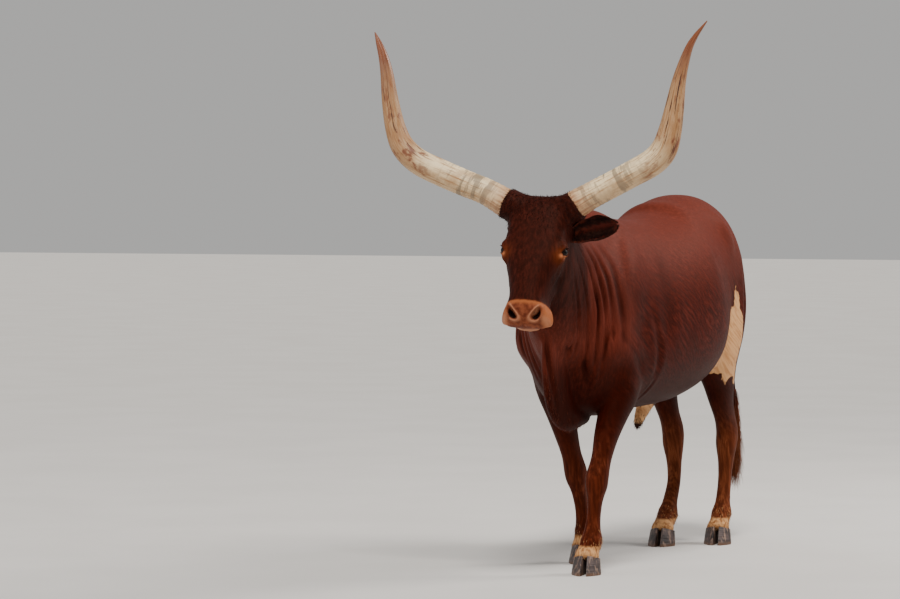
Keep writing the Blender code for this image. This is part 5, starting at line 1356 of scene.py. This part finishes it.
tuftSpecs = {
    "poll": {"count": 6500, "length": 0.013, "width": 0.0012, "lift": 0.30, "curl": 0.08, "stray": 0.28},
    "brow": {"count": 3200, "length": 0.010, "width": 0.0009, "lift": 0.16, "curl": 0.06, "stray": 0.18},
    "coronet": {"count": 900, "length": 0.017, "width": 0.0014, "lift": 0.16, "stray": 0.16, "droop": 0.1},
    "sheath": {"count": 420, "length": 0.013, "width": 0.0011, "lift": 0.30, "stray": 0.25, "droop": 0.5},
    "lash": {"count": 46, "length": 0.009, "width": 0.0005, "lift": 0.5, "stray": 0.08, "sink": 0.001,
             "vary": 0.2},
    "earEdge": {"count": 1500, "length": 0.009, "width": 0.0007, "lift": 0.12, "stray": 0.25, "sink": 0.001},
    "earInner": {"count": 900, "length": 0.026, "width": 0.0010, "lift": 0.30, "stray": 0.25, "sink": 0.001},
    "brisket": {"count": 700, "length": 0.016, "width": 0.0012, "lift": 0.20, "stray": 0.20, "droop": 0.2},
    "switch": {"count": 3000, "length": 0.120, "width": 0.0013, "lift": 0.10, "curl": 0.05, "stray": 0.08,
               "droop": 0.1, "steps": 8, "sink": 0.001},
}


nape = poll + faceOut * -0.1
hairMaps = {  # where each kind's map unrolls from: foot, axis, out, low and high along the axis
    "poll": (poll, headLeft, faceOut, -0.22, 0.22), "brow": (nape, faceDown, headLeft, -0.05, 0.30),
    "lash": (nape, faceDown, headLeft, 0.15, 0.25),
    "sheath": ((0, 0.54, 0.56), skyward, (0, -1, 0), -0.12, 0.12),
    "brisket": ((0, -0.2, 0.7), skyward, (0, -1, 0), -0.25, 0.25),
}


# hair of one kind rooted in the skin as thickly as its growth says, lying along the wish for its roots
def skinTufts(name, kind, growth, wish, unroll, rng):
    roots, normals = scattered(bodySkin, growth, tuftSpecs[kind]["count"], rng)
    lie, where = laid(wish(roots), normals), unrolled(roots, *unroll)
    return tufts(name, roots, normals, lie, where, tuftSpecs[kind], rng)


# over the poll's crown, and in a collar round each horn's root
def pollGrowth(points):
    u, _, w = inHead(points)
    crown = bell(u - 0.01, 0.055) * smoothStep(w, -0.20, -0.10)
    collar = np.zeros(len(points))
    for side in (1, -1):
        reach = (points - hornBase) @ headLeft * side
        collar = np.maximum(collar, bell(reach - 0.125, 0.026))
    return headness(points) * np.maximum(crown, 1.2 * collar * smoothStep(-u, -0.10, -0.05))


# forwards and down, turning outwards beside the horns
def pollLie(roots):
    _, v, _ = inHead(roots)
    outwards = headLeft * np.sign(v)[:, None] * smoothStep(np.abs(v), 0.07, 0.12)[:, None]
    return faceDown * 1.0 + faceOut * 0.15 + outwards


# over the brow, thickest a little below the crown
def browGrowth(points):
    u, _, w = inHead(points)
    return headness(points) * bell(u - 0.085, 0.075) * smoothStep(w, -0.16, -0.06)


# at the sheath's tip, and thinly along it
def sheathGrowth(points):
    x, y, z = points.T
    tip = bell(np.linalg.norm(points - np.array([0, 0.530, 0.520]), axis=1), 0.030)
    return tip + 0.05 * bell(np.hypot(x, y - 0.58), 0.05) * (z < 0.60)


brisketLine = [(0.01, -0.40, 0.80), (0.0, -0.31, 0.65), (0.0, -0.20, 0.55), (0, -0.06, 0.54)]


# along the brisket's lower edge
def brisketGrowth(points):
    gap, _ = nearPath(points, brisketLine)
    return bell(gap, 0.035) * smoothStep(-points[:, 2], -0.86, -0.74)


# the fringe of pale hair that hangs over one foot's claws, and the feathering behind its fetlock
def coronetTufts(leg, rng):
    point, normal = coronet(leg)

    def growth(points):
        near = bell(np.linalg.norm(points[:, :2] - point[:2], axis=1), 0.10) * (points[:, 2] < 0.2)
        over = (points - point) @ normal
        fringe = bell(over - 0.006, 0.010) + 0.25 * bell(over - 0.045, 0.030)
        behind = smoothStep(points[:, 1] - point[1], 0.0, 0.05) * bell(points[:, 2] - 0.12, 0.04)
        return near * (fringe + 0.5 * behind) * (over > 0.001)

    unroll = (point, skyward, (0, -1, 0), 0.0, 0.2)
    name = leg.replace("leg", "foot") + "_tufts"
    return skinTufts(name, "coronet", growth, lambda roots: -skyward, unroll, rng)


# lashes rooted along the upper lid's rim, reaching out and up
def lashes(rng):
    roots, normals, wish = [], [], []
    a = np.linspace(-0.78, 0.80, tuftSpecs["lash"]["count"])[:, None]
    for side in (1, -1):
        look, slant, over = eyeFrame(side)
        b = np.abs(1 - np.abs(a) ** 1.5) ** (1 / 1.5) * 1.06 - 0.10 * (1 - a**2)
        ray = slant * a * lids["halfWidth"] + over * b * lids["halfHeight"]
        depth = np.sqrt(np.maximum(1 - (ray**2).sum(1, keepdims=True), 0.0))
        ray = ray + look * depth
        roots.append(eyeCentre(side) + ray * (headPlace["eyeRadius"] + 0.0024))
        normals.append(unit(over * 0.8 + look * 0.6) + 0 * ray)
        wish.append(unit(look * 1.0 + over * 0.25 + slant * a * 0.4 - skyward * 0.35))
    roots, normals, wish = (np.vstack(part) for part in (roots, normals, wish))
    return tufts("lashes", roots, normals, wish, unrolled(roots, *hairMaps["lash"]), tuftSpecs["lash"], rng)


# hair along an ear's rim and in its cup, rooted on the ear's own grid, whose two parameters are its map
def earTufts(name, front, normals, reach, rng):
    rows, cols = front.shape[:2]
    pieces = []
    for kind, ending in (("earEdge", "_rim_tufts"), ("earInner", "_cup_tufts")):
        count = tuftSpecs[kind]["count"]
        if kind == "earEdge":
            a = rng.random(count) ** 0.8
            b = np.where(rng.random(count) < 0.5, 0.03, 0.97) + rng.normal(size=count) * 0.015
        else:
            a = 0.05 + 0.6 * rng.random(count)
            b = 0.5 + np.where(rng.random(count) < 0.5, -1, 1) * (0.22 + 0.22 * rng.random(count))
        b = np.clip(b, 0, 1)
        i = np.clip((a * (rows - 1)).astype(int), 0, rows - 2)
        j = np.clip((b * (cols - 1)).astype(int), 0, cols - 1)
        spots, facing = front[i, j], normals[i, j]
        inward = unit(front[i, cols // 2] - spots)
        wish = unit(reach * 0.8 + (facing if kind == "earEdge" else inward) * 0.5)
        where = np.stack([np.clip(a, 0, 1), b], -1)
        pieces.append(tufts(name + ending, spots, facing, wish, where, tuftSpecs[kind], rng))
    return pieces


tailSwitch = {"top": (0.078, 1.365, 0.6197), "foot": (0.090, 1.350, 0.285), "rearFrom": 1.378,
              "along": (0, 0.1, 0.4, 0.7, 0.9), "radius": (0.0165, 0.0150, 0.012, 0.008, 0.003)}


# the brush: a slim core, and wisps rooted down its length that hang and gather
def switchPieces(rng):
    top, foot = np.array(tailSwitch["top"]), np.array(tailSwitch["foot"])
    rows = [(*(top + (foot - top) * t), r) for t, r in zip(tailSwitch["along"], tailSwitch["radius"])]
    core = joinedTubes("tail_switch_core", [loft(rows, sides=20, steps=4)])
    paint(core, "along", np.full(len(core.data.vertices), 0.3))
    paint(core, "own", np.full(len(core.data.vertices), 0.4))
    count = tuftSpecs["switch"]["count"]
    t = rng.random(count) ** 0.8 * 0.78
    turn = rng.random(count) * 2 * math.pi
    out = np.stack([np.cos(turn), np.sin(turn), np.zeros(count)], -1)
    radius = np.interp(t, tailSwitch["along"], tailSwitch["radius"])
    roots = top + (foot - top) * t[:, None] + out * radius[:, None] * 0.9
    wave = np.stack([np.sin(roots[:, 2] * 30), np.cos(roots[:, 2] * 26), np.zeros(count)], -1) * 0.10
    wish = unit(foot - top) + out * 0.045 + wave * 0.4
    where = np.stack([turn / (2 * math.pi), t], -1)
    wisps = tufts("tail_switch_wisps", roots, out, unit(wish), where, tuftSpecs["switch"], rng)
    points, _ = pointsOf(wisps)
    behind = np.maximum(points[:, 1] - tailSwitch["rearFrom"], 0)
    points[:, 1] -= behind * 0.7  # gathered inside the solid's rear
    setPoints(wisps, points)
    return core, wisps


rng = np.random.default_rng(11)
hideMat, hornMat, clawMat, earMat, eyeMat = \
    hideMaterial(), hornMaterial(), clawMaterial(), earMaterial(), eyeMaterial()
pollMat = tuftMaterial("pollHair", tone(24, 5, 3), tone(46, 14, 8), tone(70, 28, 19))
blondMat = tuftMaterial("coronetHair", tone(130, 82, 48), tone(170, 122, 78), tone(206, 160, 114))
darkMat = tuftMaterial("darkHair", tone(22, 9, 7), tone(42, 18, 13), tone(80, 42, 28))
redMat = tuftMaterial("redHair", tone(40, 11, 6), tone(78, 26, 14), tone(118, 54, 34))
tailMat = tuftMaterial("tailHair", tone(46, 17, 9), tone(92, 40, 22), tone(146, 84, 50))

coatPieces = []
for kind, growth, wish, material in (
        ("poll", pollGrowth, pollLie, pollMat), ("brow", browGrowth, lambda roots: faceDown, pollMat),
        ("sheath", sheathGrowth, lambda roots: (0, -0.4, -1), darkMat),
        ("brisket", brisketGrowth, lambda roots: (0, 0.5, -1), redMat)):
    piece = skinTufts(kind + "_tufts", kind, growth, wish, hairMaps[kind], rng)
    coatPieces.append((piece, material))
coatPieces.append((lashes(rng), darkMat))
coatPieces += [(coronetTufts(leg, rng), blondMat) for leg in legs]
earPieces = []
for side, name in ((1, "ear_left"), (-1, "ear_right")):
    ear, front, facing, reach = earMesh(name + "_fine", side)
    earPieces.append((ear, name))
    coatPieces += [(piece, darkMat) for piece in earTufts(name, front, facing, reach, rng)]
core, wisps = switchPieces(rng)
coatPieces.append((wisps, tailMat))
print("coat: tufts grown,", sum(len(piece.data.polygons) for piece, _ in coatPieces), "faces")

for piece, node in earPieces:
    settle(piece, earMat, "hide", node)
for piece, node in zip(hornPieces, ("horn_left", "horn_right")):
    settle(piece, hornMat, "horn", node)
for side, name in ((1, "eye_left"), (-1, "eye_right")):
    settle(eyeMesh(name + "_wet", side), eyeMat, "eye", name)
for leg in legs:
    for side in (1, -1):
        inner = side * (1 if leg.endswith("left") else -1) < 0
        node = leg.replace("leg", "claw") + ("_inner" if inner else "_outer")
        settle(clawMesh(node + "_horn", leg, side), clawMat, "claw", node)
settle(core, tailMat, "hide", "tail_switch")
for piece, material in coatPieces:
    settle(piece, material, "hide")
settle(bodySkin, hideMat, "hide", "head", "neck", "torso", "tail", *legs)
print("pieces: settled on the body")

stage = {"half": 60.0, "colour": (0.64, 0.62, 0.60, 1), "cloud": (0.61, 0.59, 0.57, 1),
         "sky": (0.93, 0.92, 0.90, 1), "skyStrength": 0.50, "aim": (0.0, 0.0, 0.85)}


# the floor: one flat square face under everything
def layFloor():
    half = stage["half"]
    corners = np.array([(-half, -half, 0), (half, -half, 0), (half, half, 0), (-half, half, 0)], float)
    floor = newPiece("floor", corners, np.array([[0, 1, 2, 3]]))
    mat, tree, shader = newMaterial("paleFloor")
    cloud = noise(tree, ownPlace(tree), 1.5, 3.0)["Fac"]
    colour = mix(tree, between(tree, cloud, 0.3, 0.7), stage["colour"], stage["cloud"])
    wire(tree, shader, {"Base Color": colour, "Roughness": 0.85, "Specular IOR Level": 0.2})
    floor.data.materials.append(mat)


lamps = {  # each soft light's kind, where it stands, how wide it is, its power and its tint
    "key": ("SUN", (1.5, -3.0, 6.0), 0.30, 3.1, (1.0, 0.96, 0.90)),
    "fill": ("AREA", (-4.5, -5.0, 2.6), 4.0, 70, (0.98, 0.98, 1.0)),
    "rim": ("AREA", (3.6, 3.2, 4.6), 2.2, 260, (1.0, 0.95, 0.90)),
}


# each lamp turned to one aim, and a pale sky
def lightStage():
    aim = Vector(stage["aim"])
    for name, (kind, at, size, power, tint) in lamps.items():
        lamp = bpy.data.lights.new(name, kind)
        lamp.energy, lamp.color = power, tint
        if kind == "SUN":
            lamp.angle = size
        else:
            lamp.shape, lamp.size = "DISK", size
        holder = bpy.data.objects.new(name, lamp)
        holder.location = at
        holder.rotation_euler = (aim - Vector(at)).to_track_quat("-Z", "Y").to_euler()
        bpy.context.scene.collection.objects.link(holder)
    world = bpy.data.worlds.new("studio")
    world.use_nodes = True
    wire(world.node_tree, world.node_tree.nodes["Background"],
         {"Color": stage["sky"], "Strength": stage["skyStrength"]})
    bpy.context.scene.world = world


view = {"azimuth": 23.0, "elevation": 2.9, "distance": 13.2, "target": (0.0, 0.40, 0.75), "sensor": 36.0,
        "focal": 3380.0, "imageWidth": 900, "imageHeight": 599, "targetPixel": (624.0, 367.3)}  # in pixels


# the camera stands back from the target along its azimuth and elevation, then turns so that the target
# falls on its own pixel
def placeCamera():
    a, e = math.radians(view["azimuth"]), math.radians(view["elevation"])
    back = np.array([math.sin(a) * math.cos(e), -math.cos(a) * math.cos(e), math.sin(e)])
    beside = np.array([math.cos(a), math.sin(a), 0.0])
    turn = math.atan((view["targetPixel"][0] - view["imageWidth"] / 2) / view["focal"])
    nod = math.atan((view["targetPixel"][1] - view["imageHeight"] / 2) / view["focal"])
    aim = unit(-back * math.cos(turn) - beside * math.sin(turn))
    up = np.cross(unit(np.cross(aim, skyward)), aim)
    aim = aim * math.cos(nod) + up * math.sin(nod)
    lens = bpy.data.cameras.new("photoView")
    lens.sensor_width, lens.lens = view["sensor"], view["focal"] / view["imageWidth"] * view["sensor"]
    camera = bpy.data.objects.new("photoView", lens)
    camera.location = Vector(np.array(view["target"]) + shift + back * view["distance"])
    camera.rotation_euler = Vector(aim).to_track_quat("-Z", "Y").to_euler()
    bpy.context.scene.collection.objects.link(camera)
    bpy.context.scene.camera = camera


layFloor()
lightStage()
placeCamera()
print("stage: floor, lights and camera")
